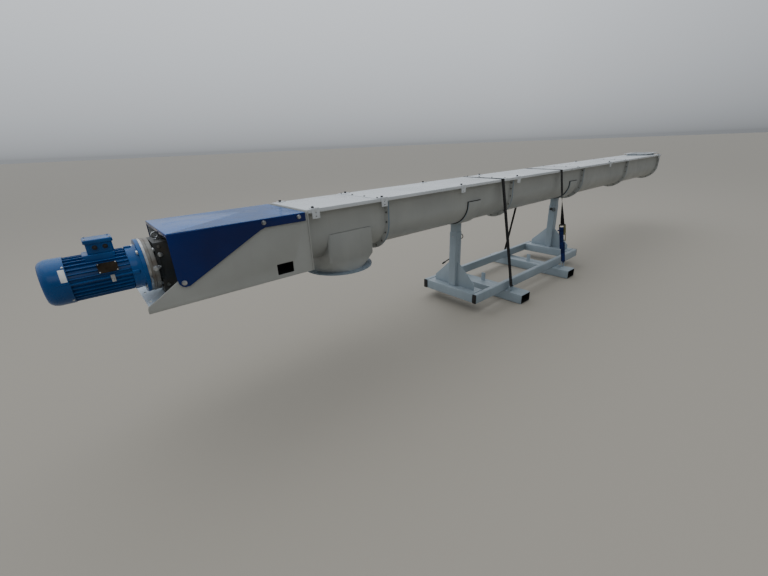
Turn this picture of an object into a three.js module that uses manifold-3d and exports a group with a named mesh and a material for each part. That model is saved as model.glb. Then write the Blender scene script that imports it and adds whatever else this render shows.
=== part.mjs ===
// A trough screw conveyor on its transport stand.
// Millimetres, +Z up. X runs along the trough from the drive to the tail, Z = 0 is the ground.
// Lengths are first measured from the drive end of the trough, and one group at the end moves
// the origin to the middle of the overall length.
import * as THREE from 'three';
import { mergeVertices } from 'three/addons/utils/BufferGeometryUtils.js';
import { ConvexGeometry } from 'three/addons/geometries/ConvexGeometry.js';
import Module from 'manifold-3d';

const wasm = await Module();
wasm.setup();

// General
const GAP = 0.3;
const SHEET = 5;
const PLATE = 8;
const JOINT_GAP = 1;

// Trough
const TROUGH_R = 208;
const TROUGH_CENTRE_Z = 1110;
const TROUGH_TOP_Z = 1299;
const RIM_Y = 253;
const FLANGE_R = 246;
const FLANGE_TOP_Z = 1275;
const SECTION_ENDS = [712, 2472, 4212, 5862, 7512];
const TROUGH_END = SECTION_ENDS[4];

// Lids
const LID_SHEET = 4;
const LID_Y = 259;
const LID_LIP = 26;
const LID_ENDS = [621, 2325, 4029, 5733, 7512];
const LID_BOTTOM_Z = TROUGH_TOP_Z + GAP;
const LID_TOP_Z = LID_BOTTOM_Z + LID_SHEET;

// Inlet collar in the last lid
const INLET_X = 7235;
const INLET_HALF_X = 210;
const INLET_HALF_Y = 155;
const INLET_HEIGHT = 36;
const INLET_RIM = 40;

// Outlet spout
const SPOUT_X = 373;
const SPOUT_HALF_X = 199;
const SPOUT_HALF_Y = 213.3;
const SPOUT_TOP_Z = 1098;
const SPOUT_CORNER = 14;
const SPOUT_BOX_BOTTOM_Z = 890;
const SPOUT_BOTTOM_Z = 798;
const SPOUT_R = 219;
const SPOUT_FLANGE_R = 268;
const SPOUT_FLANGE = 10;
const SPOUT_FACETS = 32;

// Screw and drive line
const SHAFT_Z = TROUGH_CENTRE_Z;
const SHAFT_R = 44.5;
const SHAFT_BORE_R = 37;
const FLIGHT_R = 185;
const FLIGHT_SHEET = 6;
const PITCH = 380;
const STEPS_PER_TURN = 10;
const SHAFT_START = -470;
const FLIGHT_START = 30;

// Drive tray
const TRAY_START = -980;
const TRAY_BOTTOM_Z = 902;
const TRAY_TOP_Z = 1286;
const TRAY_Y = 277;
const TRAY_SHEET = 6;
const TRAY_END = -PLATE - 2 * GAP;
const TRAY_NOSE = [[-812, 1041], [-916, 975], [-975, 941], [-980, 925]];
const BASE_START = -965;
const BASE_PLATE = 8;
const WINDOW_X = [-256, -145];
const WINDOW_Z = [928, 998];
const END_PLATE_Y = 281;

// Drive cover
const COVER_START = -817;
const COVER_Y = 287;
const COVER_SHEET = 3;
const COVER_END = -25;
const COVER_TOP_Z = 1296;
const COVER_LIP = 22;
const COVER_EDGE = [
  [-817, 1050], [-812, 1024], [-800, 1009], [-785, 1002], [-762, 1004], [-525, 1130], [-396, 1198],
  [-330, 1232], [-297, 1244], [COVER_END, 1242],
];
const COVER_BOLTS = [[-787, 1027], [-302, 1273], [-72, 1273]];
const BOLT_SPACER_R = 11;

// Motor and gearbox
const MOTOR_Z = 1096;
const MOTOR_R = 101;
const FIN_R = 115.2;
const FIN_COUNT = 24;
const FIN_HALF_ANGLE = 0.022;
const COWL_R = 119;
const COWL_SHEET = 2.5;
const COWL_START = -1350;
const COWL_END = -1245;
const DOME_LENGTH = 46;
const DOME_DEPTH = 31;
const DOME_STEPS = 4;
const BODY_START = -1262;
const BODY_END = -985;
const MOTOR_FLANGE_R = 150;
const FLANGE_START = -935;
const FLANGE_THICK = 18;
const INPUT_FLANGE_END = -890;
const ADAPTER_R = 148;
const ADAPTER_THICK = 22;
const GEARBOX_START = INPUT_FLANGE_END + GAP;
const GEARBOX_END = -640;
const GEARBOX_R = 118;
const GEARBOX_HALF = 102;
const GEARBOX_FOOT_HALF = 145;
const GEARBOX_FOOT = 26;
const HUB_R = 85;
const OUTPUT_R = 30;
const OUTPUT_END = GEARBOX_END + 90;
const COUPLING_R = 66;
const TERMINAL_BOX_X = [-1147, -1021];
const TERMINAL_BOX_HALF = 58;
const TERMINAL_BOX_Z = [1213, 1287];
const TERMINAL_LID = 20;
const PAD_X = [-1166, -1028];
const PAD_HALF = 60;
const PAD_BOTTOM_Z = 1166;

// Flanged bearings on the two end plates
const BEARING_HALF = 105;
const BEARING_PLATE = 20;
const BEARING_R = 78;
const BEARING_LENGTH = 62;

// Stand
const POCKET_HEIGHT = 104;
const POCKET_WIDTH = 180;
const POCKET_WALL = 6;
const POCKET_HALF_LENGTH = 575;
const POCKET_SPACING = 1100;
const STAND_START = 1757;
const STAND_LENGTH = 2325;
const STAND_X = STAND_START + STAND_LENGTH / 2;
const BEAM_HEIGHT = 100;
const BEAM_WIDTH = 50;
const BEAM_WALL = 4;
const BEAM_Y = 365;
const CROSS_WIDTH = 180;
const POST_INSET = 90;
const OUTER_POST = 90;
const INNER_POST = 78;
const POST_WALL = 5;
const INNER_WALL = 4;
const OUTER_POST_TOP = 801;
const INNER_POST_BOTTOM = 300;
const GUSSET_FOOT = 265;
const GUSSET_TOP_Z = 480;
const GUSSET_NOSE = 62;
const SADDLE_LENGTH = 188;
const SADDLE_TOP_Z = TROUGH_CENTRE_Z + 18;
const BEAM_TOP = POCKET_HEIGHT + BEAM_HEIGHT + 2 * GAP;
const RUBBER = 8;
const RUBBER_LIP = 6;
const LUG_INSET = 30;
const LUG_HALF_Y = 25;
const LUG_TOP_Z = 200;

// Locking pins, and the row of holes below them
const PIN_R = 6.7;
const PIN_Z = 750;
const PIN_OUT = 18;
const PIN_TAIL = 4;
const PIN_HEAD_R = 11;
const HOLE_R = 7;
const HOLE_Z = 491;
const HOLE_PITCH = 56;
const HOLE_COUNT = 5;

// Lashing: an eye is given as [x, y], with y below zero on the near side
const WEB = 3;
const WEB_WIDTH = 50;
const EYE_BAR_R = 7;
const EYE_HEIGHT = 70;
const EYE_HALF = 34;
const EYE_Z = POCKET_HEIGHT + EYE_HEIGHT - EYE_BAR_R;
const STRAP_TOP_Z = LID_TOP_Z + GAP + WEB / 2;
const STRAP_SIDE_Y = LID_Y + GAP + WEB / 2;
const LASHING_1 = { near: [2316, -420], far: [2335, 400], lidNear: 2242, lidFar: 2300 };
const LASHING_2 = { near: [3505, -440], far: [3500, 400], lidNear: 3510, lidFar: 3600 };
const RATCHET_TOP_Z = 650;
const RATCHET_BOTTOM_Z = 425;
const RATCHET_WIDTH = 80;
const RATCHET_THICK = 30;

// Colours from the photograph
const paint = (color, roughness = 0.5) => new THREE.MeshStandardMaterial({ color, roughness, metalness: 0.1 });
const metal = (color, roughness = 0.35) => new THREE.MeshStandardMaterial({ color, roughness, metalness: 0.9 });
const troughPaint = paint(0x8d908a);
const lidPaint = paint(0xd5d9dc);
const standPaint = paint(0x9fb2c2);
const coverBlue = paint(0x16286b, 0.35);
const motorBlue = paint(0x35609a, 0.45);
const gearboxGrey = paint(0x3e4247, 0.55);
const bareSteel = metal(0xb8babc);
const screwSteel = metal(0x7c7f82, 0.5);
const rubber = new THREE.MeshStandardMaterial({ color: 0x161616, roughness: 0.9 });
const blackWeb = new THREE.MeshStandardMaterial({ color: 0x141416, roughness: 0.95 });
const blueWeb = new THREE.MeshStandardMaterial({ color: 0x1b2c5e, roughness: 0.9 });
const ratchetZinc = metal(0x8c8a6e, 0.45);

const model = new THREE.Group();

function toSolid(geometry) {
  const bare = geometry.clone();
  bare.deleteAttribute('normal');
  bare.deleteAttribute('uv');
  const merged = mergeVertices(bare, 1e-4);
  return new wasm.Manifold(new wasm.Mesh({
    numProp: 3,
    vertProperties: new Float32Array(merged.attributes.position.array),
    triVerts: new Uint32Array(merged.index.array),
  }));
}

function toGeometry(solid) {
  const mesh = solid.getMesh();
  const geometry = new THREE.BufferGeometry();
  geometry.setAttribute('position', new THREE.BufferAttribute(mesh.vertProperties, 3));
  geometry.setIndex(new THREE.BufferAttribute(mesh.triVerts, 1));
  geometry.computeVertexNormals();
  return geometry;
}

function join(...geometries) {
  return toGeometry(geometries.map(toSolid).reduce((sum, solid) => sum.add(solid)));
}

function cut(geometry, ...tools) {
  return toGeometry(tools.map(toSolid).reduce((rest, tool) => rest.subtract(tool), toSolid(geometry)));
}

function addPart(name, geometry, material) {
  const mesh = new THREE.Mesh(geometry, material);
  mesh.name = name;
  model.add(mesh);
  return mesh;
}

function block(x0, x1, y0, y1, z0, z1) {
  const geometry = new THREE.BoxGeometry(x1 - x0, y1 - y0, z1 - z0);
  return geometry.translate((x0 + x1) / 2, (y0 + y1) / 2, (z0 + z1) / 2);
}

// A round bar between x0 and x1.
function roundX(radius, x0, x1, y = 0, z = SHAFT_Z, segments = 28) {
  const geometry = new THREE.CylinderGeometry(radius, radius, x1 - x0, segments);
  return geometry.rotateZ(-Math.PI / 2).translate((x0 + x1) / 2, y, z);
}

// A round bar between y0 and y1.
function roundY(radius, y0, y1, x, z, segments = 16) {
  const geometry = new THREE.CylinderGeometry(radius, radius, y1 - y0, segments);
  return geometry.translate(x, (y0 + y1) / 2, z);
}

function roundZ(radius, z0, z1, x, y, segments = 28) {
  const geometry = new THREE.CylinderGeometry(radius, radius, z1 - z0, segments);
  return geometry.rotateX(Math.PI / 2).translate(x, y, (z0 + z1) / 2);
}

function outline(points) {
  return new THREE.Shape(points.map(([u, v]) => new THREE.Vector2(u, v)));
}

// A (y, z) outline carried along X.
function alongX(shape, x0, x1, curveSegments = 16) {
  const geometry = new THREE.ExtrudeGeometry(shape, { depth: x1 - x0, bevelEnabled: false, curveSegments });
  const basis = new THREE.Matrix4().makeBasis(
    new THREE.Vector3(0, 1, 0), new THREE.Vector3(0, 0, 1), new THREE.Vector3(1, 0, 0));
  return geometry.applyMatrix4(basis).translate(x0, 0, 0);
}

// An (x, z) outline carried along Y from y0 to y1.
function alongY(shape, y0, y1) {
  const geometry = new THREE.ExtrudeGeometry(shape, { depth: y1 - y0, bevelEnabled: false, curveSegments: 16 });
  const basis = new THREE.Matrix4().makeBasis(
    new THREE.Vector3(1, 0, 0), new THREE.Vector3(0, 0, 1), new THREE.Vector3(0, -1, 0));
  return geometry.applyMatrix4(basis).translate(0, y1, 0);
}

// A square tube, open at both ends of the named axis.
function boxTube(x0, x1, y0, y1, z0, z1, axis, wall) {
  const [inX, inY, inZ] = ['x', 'y', 'z'].map((name) => (name === axis ? -wall : wall));
  return cut(block(x0, x1, y0, y1, z0, z1), block(x0 + inX, x1 - inX, y0 + inY, y1 - inY, z0 + inZ, z1 - inZ));
}

// Outer outline of a U of the given radius, closed at the top.
function uOutline(radius, topZ) {
  const shape = new THREE.Shape();
  shape.moveTo(radius, topZ);
  shape.lineTo(-radius, topZ);
  shape.lineTo(-radius, TROUGH_CENTRE_Z);
  shape.absarc(0, TROUGH_CENTRE_Z, radius, Math.PI, 2 * Math.PI, false);
  return shape;
}

// A U strip between two radii.
function uStrip(outer, inner, topZ) {
  const shape = new THREE.Shape();
  shape.moveTo(-outer, topZ);
  shape.lineTo(-outer, TROUGH_CENTRE_Z);
  shape.absarc(0, TROUGH_CENTRE_Z, outer, Math.PI, 2 * Math.PI, false);
  shape.lineTo(outer, topZ);
  shape.lineTo(inner, topZ);
  shape.lineTo(inner, TROUGH_CENTRE_Z);
  shape.absarc(0, TROUGH_CENTRE_Z, inner, 0, Math.PI, true);
  shape.lineTo(-inner, topZ);
  return shape;
}

// The spout is a square box that runs into a round mouth at its foot.
function spoutShape(inset) {
  const halfX = SPOUT_HALF_X - inset;
  const halfY = SPOUT_HALF_Y - inset;
  const topZ = SPOUT_TOP_Z + (inset ? 1 : 0);
  const box = [];
  for (const [sideX, sideY] of [[-1, -1], [1, -1], [1, 1], [-1, 1]]) {
    for (const [cutX, cutY] of [[SPOUT_CORNER, 0], [0, SPOUT_CORNER]]) {
      box.push([SPOUT_X + sideX * (halfX - cutX), sideY * (halfY - cutY)]);
    }
  }
  const mouth = [];
  for (let i = 0; i < SPOUT_FACETS; i += 1) {
    const angle = (2 * Math.PI * i) / SPOUT_FACETS;
    const r = SPOUT_R - inset;
    const z = SPOUT_BOTTOM_Z - (inset ? 1 : 0);
    mouth.push(new THREE.Vector3(SPOUT_X + r * Math.cos(angle), r * Math.sin(angle), z));
  }
  const level = (z) => box.map(([x, y]) => new THREE.Vector3(x, y, z));
  return join(new ConvexGeometry([...level(SPOUT_BOX_BOTTOM_Z), ...level(topZ)]),
    new ConvexGeometry([...level(SPOUT_BOX_BOTTOM_Z), ...mouth]));
}

// A U ring at the end of a section. Its two ends reach in under the rims of the trough.
function endFlange(x0) {
  const ring = alongX(uStrip(FLANGE_R, TROUGH_R - 1, FLANGE_TOP_Z), x0, x0 + PLATE);
  const tabs = [-1, 1].map((side) => {
    const [y0, y1] = [side * (TROUGH_R - 1), side * RIM_Y].sort((a, b) => a - b);
    return block(x0, x0 + PLATE, y0, y1, FLANGE_TOP_Z - SHEET, TROUGH_TOP_Z - 1);
  });
  return join(ring, ...tabs);
}

function troughSection(index) {
  const x0 = index === 0 ? 0 : SECTION_ENDS[index - 1] + JOINT_GAP;
  const x1 = SECTION_ENDS[index];
  const wall = alongX(uStrip(TROUGH_R, TROUGH_R - SHEET, TROUGH_TOP_Z), x0, x1);
  const rims = [-1, 1].map((side) => {
    const [y0, y1] = [side * (TROUGH_R - 1), side * RIM_Y].sort((a, b) => a - b);
    return block(x0, x1, y0, y1, TROUGH_TOP_Z - SHEET, TROUGH_TOP_Z);
  });
  const section = join(wall, ...rims, endFlange(x0), endFlange(x1 - PLATE));
  return index === 0 ? cut(section, spoutShape(SHEET)) : section;
}

function lid(index) {
  const x0 = index === 0 ? 0 : LID_ENDS[index - 1] + JOINT_GAP;
  const x1 = LID_ENDS[index];
  const lipZ = LID_TOP_Z - LID_LIP;
  const inner = LID_Y - LID_SHEET;
  const sheet = alongX(outline([
    [-LID_Y, LID_TOP_Z], [-LID_Y, lipZ], [-inner, lipZ], [-inner, LID_BOTTOM_Z],
    [inner, LID_BOTTOM_Z], [inner, lipZ], [LID_Y, lipZ], [LID_Y, LID_TOP_Z],
  ]), x0, x1);
  if (x1 < TROUGH_END) return sheet;
  return cut(sheet, block(INLET_X - INLET_HALF_X, INLET_X + INLET_HALF_X,
    -INLET_HALF_Y, INLET_HALF_Y, LID_BOTTOM_Z - 1, LID_TOP_Z + 1));
}

function inletCollar() {
  const z0 = LID_TOP_Z + GAP;
  const z1 = z0 + INLET_HEIGHT;
  const x0 = INLET_X - INLET_HALF_X;
  const x1 = INLET_X + INLET_HALF_X;
  const wall = block(x0 - SHEET, x1 + SHEET, -INLET_HALF_Y - SHEET, INLET_HALF_Y + SHEET, z0, z1);
  const rim = block(x0 - INLET_RIM, x1 + INLET_RIM, -INLET_HALF_Y - INLET_RIM, INLET_HALF_Y + INLET_RIM,
    z1 - PLATE, z1);
  return cut(join(wall, rim), block(x0, x1, -INLET_HALF_Y, INLET_HALF_Y, z0 - 1, z1 + 1));
}

function spout() {
  const flange = roundZ(SPOUT_FLANGE_R, SPOUT_BOTTOM_Z - SPOUT_FLANGE, SPOUT_BOTTOM_Z, SPOUT_X, 0, SPOUT_FACETS);
  const body = join(spoutShape(0), flange);
  const trough = alongX(uOutline(TROUGH_R + GAP, TROUGH_TOP_Z), -SPOUT_X, SECTION_ENDS[0]);
  const mouth = roundZ(SPOUT_R - SHEET, SPOUT_BOTTOM_Z - SPOUT_FLANGE - 1, SPOUT_BOTTOM_Z + 1, SPOUT_X, 0,
    SPOUT_FACETS);
  return cut(body, spoutShape(SHEET), mouth, trough);
}

// The flight is a radial strip that turns as it goes along the shaft.
function flight(x0, x1) {
  const half = (Math.PI * FLIGHT_SHEET) / PITCH;
  const shape = new THREE.Shape();
  shape.absarc(0, 0, FLIGHT_R, -half, half, false);
  shape.absarc(0, 0, (SHAFT_R + 3 * GAP) / Math.cos(Math.PI / STEPS_PER_TURN), half, -half, true);
  const steps = Math.round(((x1 - x0) / PITCH) * STEPS_PER_TURN);
  const strip = new THREE.ExtrudeGeometry(shape, {
    depth: x1 - x0, steps, bevelEnabled: false, curveSegments: 1,
  });
  const position = strip.attributes.position;
  const axis = new THREE.Vector3(0, 0, 1);
  const point = new THREE.Vector3();
  for (let i = 0; i < position.count; i += 1) {
    point.fromBufferAttribute(position, i);
    point.applyAxisAngle(axis, (2 * Math.PI * point.z) / PITCH);
    position.setXYZ(i, point.x, point.y, point.z);
  }
  const basis = new THREE.Matrix4().makeBasis(
    new THREE.Vector3(0, 1, 0), new THREE.Vector3(0, 0, 1), new THREE.Vector3(1, 0, 0));
  return strip.applyMatrix4(basis).translate(x0, 0, SHAFT_Z);
}

function screwShaft() {
  const x1 = TROUGH_END + 60;
  return cut(roundX(SHAFT_R, SHAFT_START, x1), roundX(SHAFT_BORE_R, SHAFT_START - 1, x1 + 1));
}

function endPlate(x0) {
  const plate = block(x0, x0 + PLATE, -END_PLATE_Y, END_PLATE_Y, TRAY_BOTTOM_Z, TROUGH_TOP_Z);
  return cut(plate, roundX(SHAFT_R + 6, x0 - 1, x0 + PLATE + 1));
}

function tailPlate(x0) {
  return cut(alongX(uOutline(FLANGE_R, TROUGH_TOP_Z), x0, x0 + PLATE), roundX(SHAFT_R + 6, x0 - 1, x0 + PLATE + 1));
}

function traySide(y0) {
  const plate = alongY(outline([
    [TRAY_START, TRAY_BOTTOM_Z], [TRAY_END, TRAY_BOTTOM_Z], [TRAY_END, TRAY_TOP_Z],
    [TRAY_NOSE[0][0], TRAY_TOP_Z], ...TRAY_NOSE,
  ]), y0, y0 + TRAY_SHEET);
  return cut(plate, block(...WINDOW_X, y0 - 1, y0 + TRAY_SHEET + 1, ...WINDOW_Z));
}

function driveCover() {
  const side = outline([[COVER_START, COVER_TOP_Z], ...COVER_EDGE, [COVER_END, COVER_TOP_Z]]);
  const inner = COVER_Y - COVER_SHEET;
  const spacers = COVER_BOLTS.flatMap(([x, z]) => [
    roundY(BOLT_SPACER_R, -inner - 1, -TRAY_Y - GAP, x, z),
    roundY(BOLT_SPACER_R, TRAY_Y + GAP, inner + 1, x, z),
  ]);
  return join(
    ...spacers,
    alongY(side, -COVER_Y, -inner),
    alongY(side, inner, COVER_Y),
    block(COVER_START, COVER_END, -COVER_Y, COVER_Y, COVER_TOP_Z - COVER_SHEET, COVER_TOP_Z),
    block(COVER_START, COVER_START + COVER_SHEET, -COVER_Y, COVER_Y, COVER_TOP_Z - COVER_LIP, COVER_TOP_Z),
  );
}

// Finned body with its end shield, mounting flange and the pad under the terminal box.
function motorBody() {
  const shape = new THREE.Shape();
  const step = (2 * Math.PI) / FIN_COUNT;
  for (let i = 0; i < FIN_COUNT; i += 1) {
    const middle = i * step;
    [
      [FIN_R, middle - FIN_HALF_ANGLE], [FIN_R, middle + FIN_HALF_ANGLE],
      [MOTOR_R, middle + FIN_HALF_ANGLE], [MOTOR_R, middle + step - FIN_HALF_ANGLE],
    ].forEach(([r, angle], k) => {
      const draw = i === 0 && k === 0 ? 'moveTo' : 'lineTo';
      shape[draw](r * Math.cos(angle), MOTOR_Z + r * Math.sin(angle));
    });
  }
  return join(
    alongX(shape, BODY_START, BODY_END),
    roundX(FIN_R - 2, BODY_END - 20, FLANGE_START + 1, 0, MOTOR_Z),
    roundX(MOTOR_FLANGE_R, FLANGE_START, FLANGE_START + FLANGE_THICK, 0, MOTOR_Z, 40),
    block(...PAD_X, -PAD_HALF, PAD_HALF, PAD_BOTTOM_Z, TERMINAL_BOX_Z[0] - GAP),
  );
}

// The cowl's closed end is a quarter ellipse turned about the motor's axis.
function fanCowl() {
  const profile = [new THREE.Vector2(0, COWL_START)];
  for (let i = 0; i <= DOME_STEPS; i += 1) {
    const angle = (Math.PI / 2) * (i / DOME_STEPS);
    profile.push(new THREE.Vector2(
      COWL_R - DOME_DEPTH * (1 - Math.sin(angle)), COWL_START + DOME_LENGTH * (1 - Math.cos(angle))));
  }
  profile.push(new THREE.Vector2(COWL_R, COWL_END), new THREE.Vector2(0, COWL_END));
  const outside = new THREE.LatheGeometry(profile, 28).rotateZ(-Math.PI / 2).translate(0, 0, MOTOR_Z);
  return cut(outside, roundX(COWL_R - DOME_DEPTH - COWL_SHEET, COWL_START + 2 * COWL_SHEET, COWL_END, 0, MOTOR_Z),
    roundX(COWL_R - COWL_SHEET, COWL_START + DOME_LENGTH, COWL_END + 1, 0, MOTOR_Z));
}

function terminalBox() {
  const [x0, x1] = TERMINAL_BOX_X;
  const [z0, z1] = TERMINAL_BOX_Z;
  const half = TERMINAL_BOX_HALF;
  return join(block(x0 + 3, x1 - 3, 3 - half, half - 3, z0, z1 - 1), block(x0, x1, -half, half, z1 - TERMINAL_LID, z1));
}

function gearbox() {
  const floor = TRAY_BOTTOM_Z + BASE_PLATE + GAP;
  return join(
    roundX(ADAPTER_R, GEARBOX_START, GEARBOX_START + ADAPTER_THICK, 0, MOTOR_Z, 40),
    roundX(GEARBOX_R, GEARBOX_START, GEARBOX_START + 45, 0, MOTOR_Z),
    block(GEARBOX_START + 30, GEARBOX_END, -GEARBOX_HALF, GEARBOX_HALF, floor + 20, SHAFT_Z + GEARBOX_R),
    block(GEARBOX_START + 50, GEARBOX_END - 10, -GEARBOX_FOOT_HALF, GEARBOX_FOOT_HALF, floor,
      floor + GEARBOX_FOOT),
    roundX(HUB_R, GEARBOX_END - 5, GEARBOX_END + 35),
    roundX(OUTPUT_R, GEARBOX_END + 30, OUTPUT_END),
  );
}

function coupling() {
  return cut(roundX(COUPLING_R, GEARBOX_END + 40, SHAFT_START + 40),
    roundX(OUTPUT_R + 1, GEARBOX_END + 39, OUTPUT_END + 2),
    roundX(SHAFT_R + GAP, SHAFT_START - 1, SHAFT_START + 41));
}

// A square flange with a round housing, on the outer side of an end plate.
function flangedBearing(face, outward) {
  const out = (near, far) => [face + outward * near, face + outward * far].sort((a, b) => a - b);
  const housing = join(
    block(...out(0, BEARING_PLATE), -BEARING_HALF, BEARING_HALF, SHAFT_Z - BEARING_HALF, SHAFT_Z + BEARING_HALF),
    roundX(BEARING_R, ...out(BEARING_PLATE - 5, BEARING_LENGTH)));
  return cut(housing, roundX(SHAFT_R + GAP, ...out(-1, outward > 0 ? BEARING_LENGTH - 7 : BEARING_LENGTH + 1)));
}

function saddleShape(outer, inner, x, topZ, length) {
  const whole = alongX(uStrip(outer, inner, TROUGH_TOP_Z), x - length / 2, x + length / 2);
  return cut(whole, block(x - length, x + length, -FLANGE_R, FLANGE_R, topZ, TROUGH_TOP_Z + 1));
}

// Saddle plate welded on the inner post, which slides in the outer post.
function saddlePost(x) {
  const half = INNER_POST / 2;
  const innerR = TROUGH_R + RUBBER + 2 * GAP;
  const room = alongX(uOutline(innerR + PLATE / 2, TROUGH_TOP_Z), x - INNER_POST, x + INNER_POST);
  const post = cut(boxTube(x - half, x + half, -half, half, INNER_POST_BOTTOM, TROUGH_CENTRE_Z, 'z', INNER_WALL),
    room);
  const pinHole = roundX(HOLE_R, x - INNER_POST, x + INNER_POST, 0, PIN_Z, 16);
  return cut(join(saddleShape(innerR + PLATE, innerR, x, SADDLE_TOP_Z, SADDLE_LENGTH), post), pinHole);
}

function gusset(x, side) {
  const inner = side * (OUTER_POST / 2 - 1);
  const foot = side * GUSSET_FOOT;
  return alongX(outline([
    [inner, BEAM_TOP], [foot, BEAM_TOP], [foot, BEAM_TOP + GUSSET_NOSE], [inner, GUSSET_TOP_Z],
  ]), x - PLATE / 2, x + PLATE / 2);
}

// Outer post with its two gussets, the row of holes on its near side and the pin's holes.
function outerPost(x) {
  const half = OUTER_POST / 2;
  const holes = Array.from({ length: HOLE_COUNT }, (unused, i) => (
    roundY(HOLE_R, -half - 1, -half + POST_WALL + 1, x, HOLE_Z + i * HOLE_PITCH, 10)));
  const tube = boxTube(x - half, x + half, -half, half, BEAM_TOP, OUTER_POST_TOP, 'z', POST_WALL);
  const gussets = join(gusset(x, -1), gusset(x, 1));
  const post = join(tube, cut(gussets, block(x - half, x + half, 1 - half, half - 1, 0, OUTER_POST_TOP)));
  return cut(post, ...holes, roundX(HOLE_R, x - OUTER_POST, x + OUTER_POST, 0, PIN_Z, 16));
}

// The pin's head faces the middle of the stand.
function lockingPin(x, toMiddle) {
  const half = OUTER_POST / 2;
  const [head0, head1] = [x + toMiddle * (half + GAP), x + toMiddle * (half + PIN_OUT)].sort((a, b) => a - b);
  const tail = x - toMiddle * (half + PIN_TAIL);
  return join(roundX(PIN_R, Math.min(tail, head0), Math.max(tail, head1), 0, PIN_Z, 16),
    roundX(PIN_HEAD_R, head0, head1, 0, PIN_Z, 16));
}

function lashingEye(x, y) {
  const legs = [-1, 1].map((side) => (
    roundZ(EYE_BAR_R, POCKET_HEIGHT - 1, EYE_Z, x + side * EYE_HALF, y, 8)));
  return join(...legs, roundX(EYE_BAR_R, x - EYE_HALF - EYE_BAR_R, x + EYE_HALF + EYE_BAR_R, y, EYE_Z, 8));
}

// A fork pocket with the two lashing eyes on its ends and a lug between the long beams.
function forkPocket(x, toMiddle, { near, far }) {
  const tube = boxTube(x - POCKET_WIDTH / 2, x + POCKET_WIDTH / 2, -POCKET_HALF_LENGTH, POCKET_HALF_LENGTH,
    0, POCKET_HEIGHT, 'y', POCKET_WALL);
  const lugX = x + toMiddle * LUG_INSET;
  const lug = block(lugX - PLATE / 2, lugX + PLATE / 2, -LUG_HALF_Y, LUG_HALF_Y, POCKET_HEIGHT - 1, LUG_TOP_Z);
  return join(tube, lug, lashingEye(...near), lashingEye(...far));
}

// A flat web through the points [x, y, z]. Its width is along X, or across the points' way in the YZ plane
// where the two sizes are given the other way round.
function band(points, width = WEB_WIDTH, thick = WEB) {
  const flat = points.map(([, y, z]) => new THREE.Vector2(y, z));
  const normals = flat.map((here, i) => {
    const before = flat[Math.max(i - 1, 0)];
    const after = flat[Math.min(i + 1, flat.length - 1)];
    const along = after.clone().sub(before).normalize();
    return new THREE.Vector2(-along.y, along.x);
  });
  const pieces = points.slice(1).map((unused, i) => {
    const corners = [i, i + 1].flatMap((k) => [-1, 1].flatMap((sideX) => [-1, 1].map((sideN) => (
      new THREE.Vector3(
        points[k][0] + (sideX * width) / 2,
        points[k][1] + (sideN * normals[k].x * thick) / 2,
        points[k][2] + (sideN * normals[k].y * thick) / 2,
      )))));
    return new ConvexGeometry(corners);
  });
  return join(...pieces);
}

// The point at height z on the line from a to b.
function atHeight(a, b, z) {
  const share = (z - a[2]) / (b[2] - a[2]);
  return a.map((value, i) => value + share * (b[i] - value));
}

// A web's end sewn round the bar of an eye, and the place where the web leaves it.
function sewnEnd(x, y) {
  const loop = EYE_BAR_R + 2 * GAP;
  const x0 = x - WEB_WIDTH / 2;
  const x1 = x + WEB_WIDTH / 2;
  return cut(roundX(loop + WEB, x0, x1, y, EYE_Z, 12), roundX(loop, x0 - 1, x1 + 1, y, EYE_Z, 12));
}

// A strap's points from its near eye over the lid to its far eye.
function strapRoute({ near, far, lidNear, lidFar }) {
  const leave = EYE_Z + EYE_BAR_R + WEB;
  return [
    [...near, leave], [lidNear, -STRAP_SIDE_Y, STRAP_TOP_Z], [lidFar, STRAP_SIDE_Y, STRAP_TOP_Z], [...far, leave],
  ];
}

function strapOne() {
  return join(sewnEnd(...LASHING_1.near), band(strapRoute(LASHING_1)), sewnEnd(...LASHING_1.far));
}

const [webStart, lidCorner, ...overLid] = strapRoute(LASHING_2);

function strapTwo() {
  const top = atHeight(webStart, lidCorner, RATCHET_TOP_Z + GAP);
  return join(band([top, lidCorner, ...overLid]), sewnEnd(...LASHING_2.far));
}

function ratchetWeb() {
  const top = atHeight(webStart, lidCorner, RATCHET_BOTTOM_Z - GAP);
  return join(sewnEnd(...LASHING_2.near), band([webStart, top], 2 * WEB, WEB_WIDTH));
}

function ratchet() {
  const ends = [RATCHET_BOTTOM_Z, RATCHET_TOP_Z].map((z) => atHeight(webStart, lidCorner, z));
  return band(ends, RATCHET_THICK, RATCHET_WIDTH);
}

// Trough, lids and openings
for (let i = 0; i < SECTION_ENDS.length; i += 1) {
  addPart(`trough_section_${i + 1}`, troughSection(i), troughPaint);
  addPart(`lid_${i + 1}`, lid(i), lidPaint);
}
addPart('inlet_collar', inletCollar(), lidPaint);
addPart('outlet_spout', spout(), troughPaint);
addPart('screw_shaft', screwShaft(), screwSteel);
addPart('screw_flight', flight(FLIGHT_START, TROUGH_END - FLIGHT_START), screwSteel);

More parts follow.
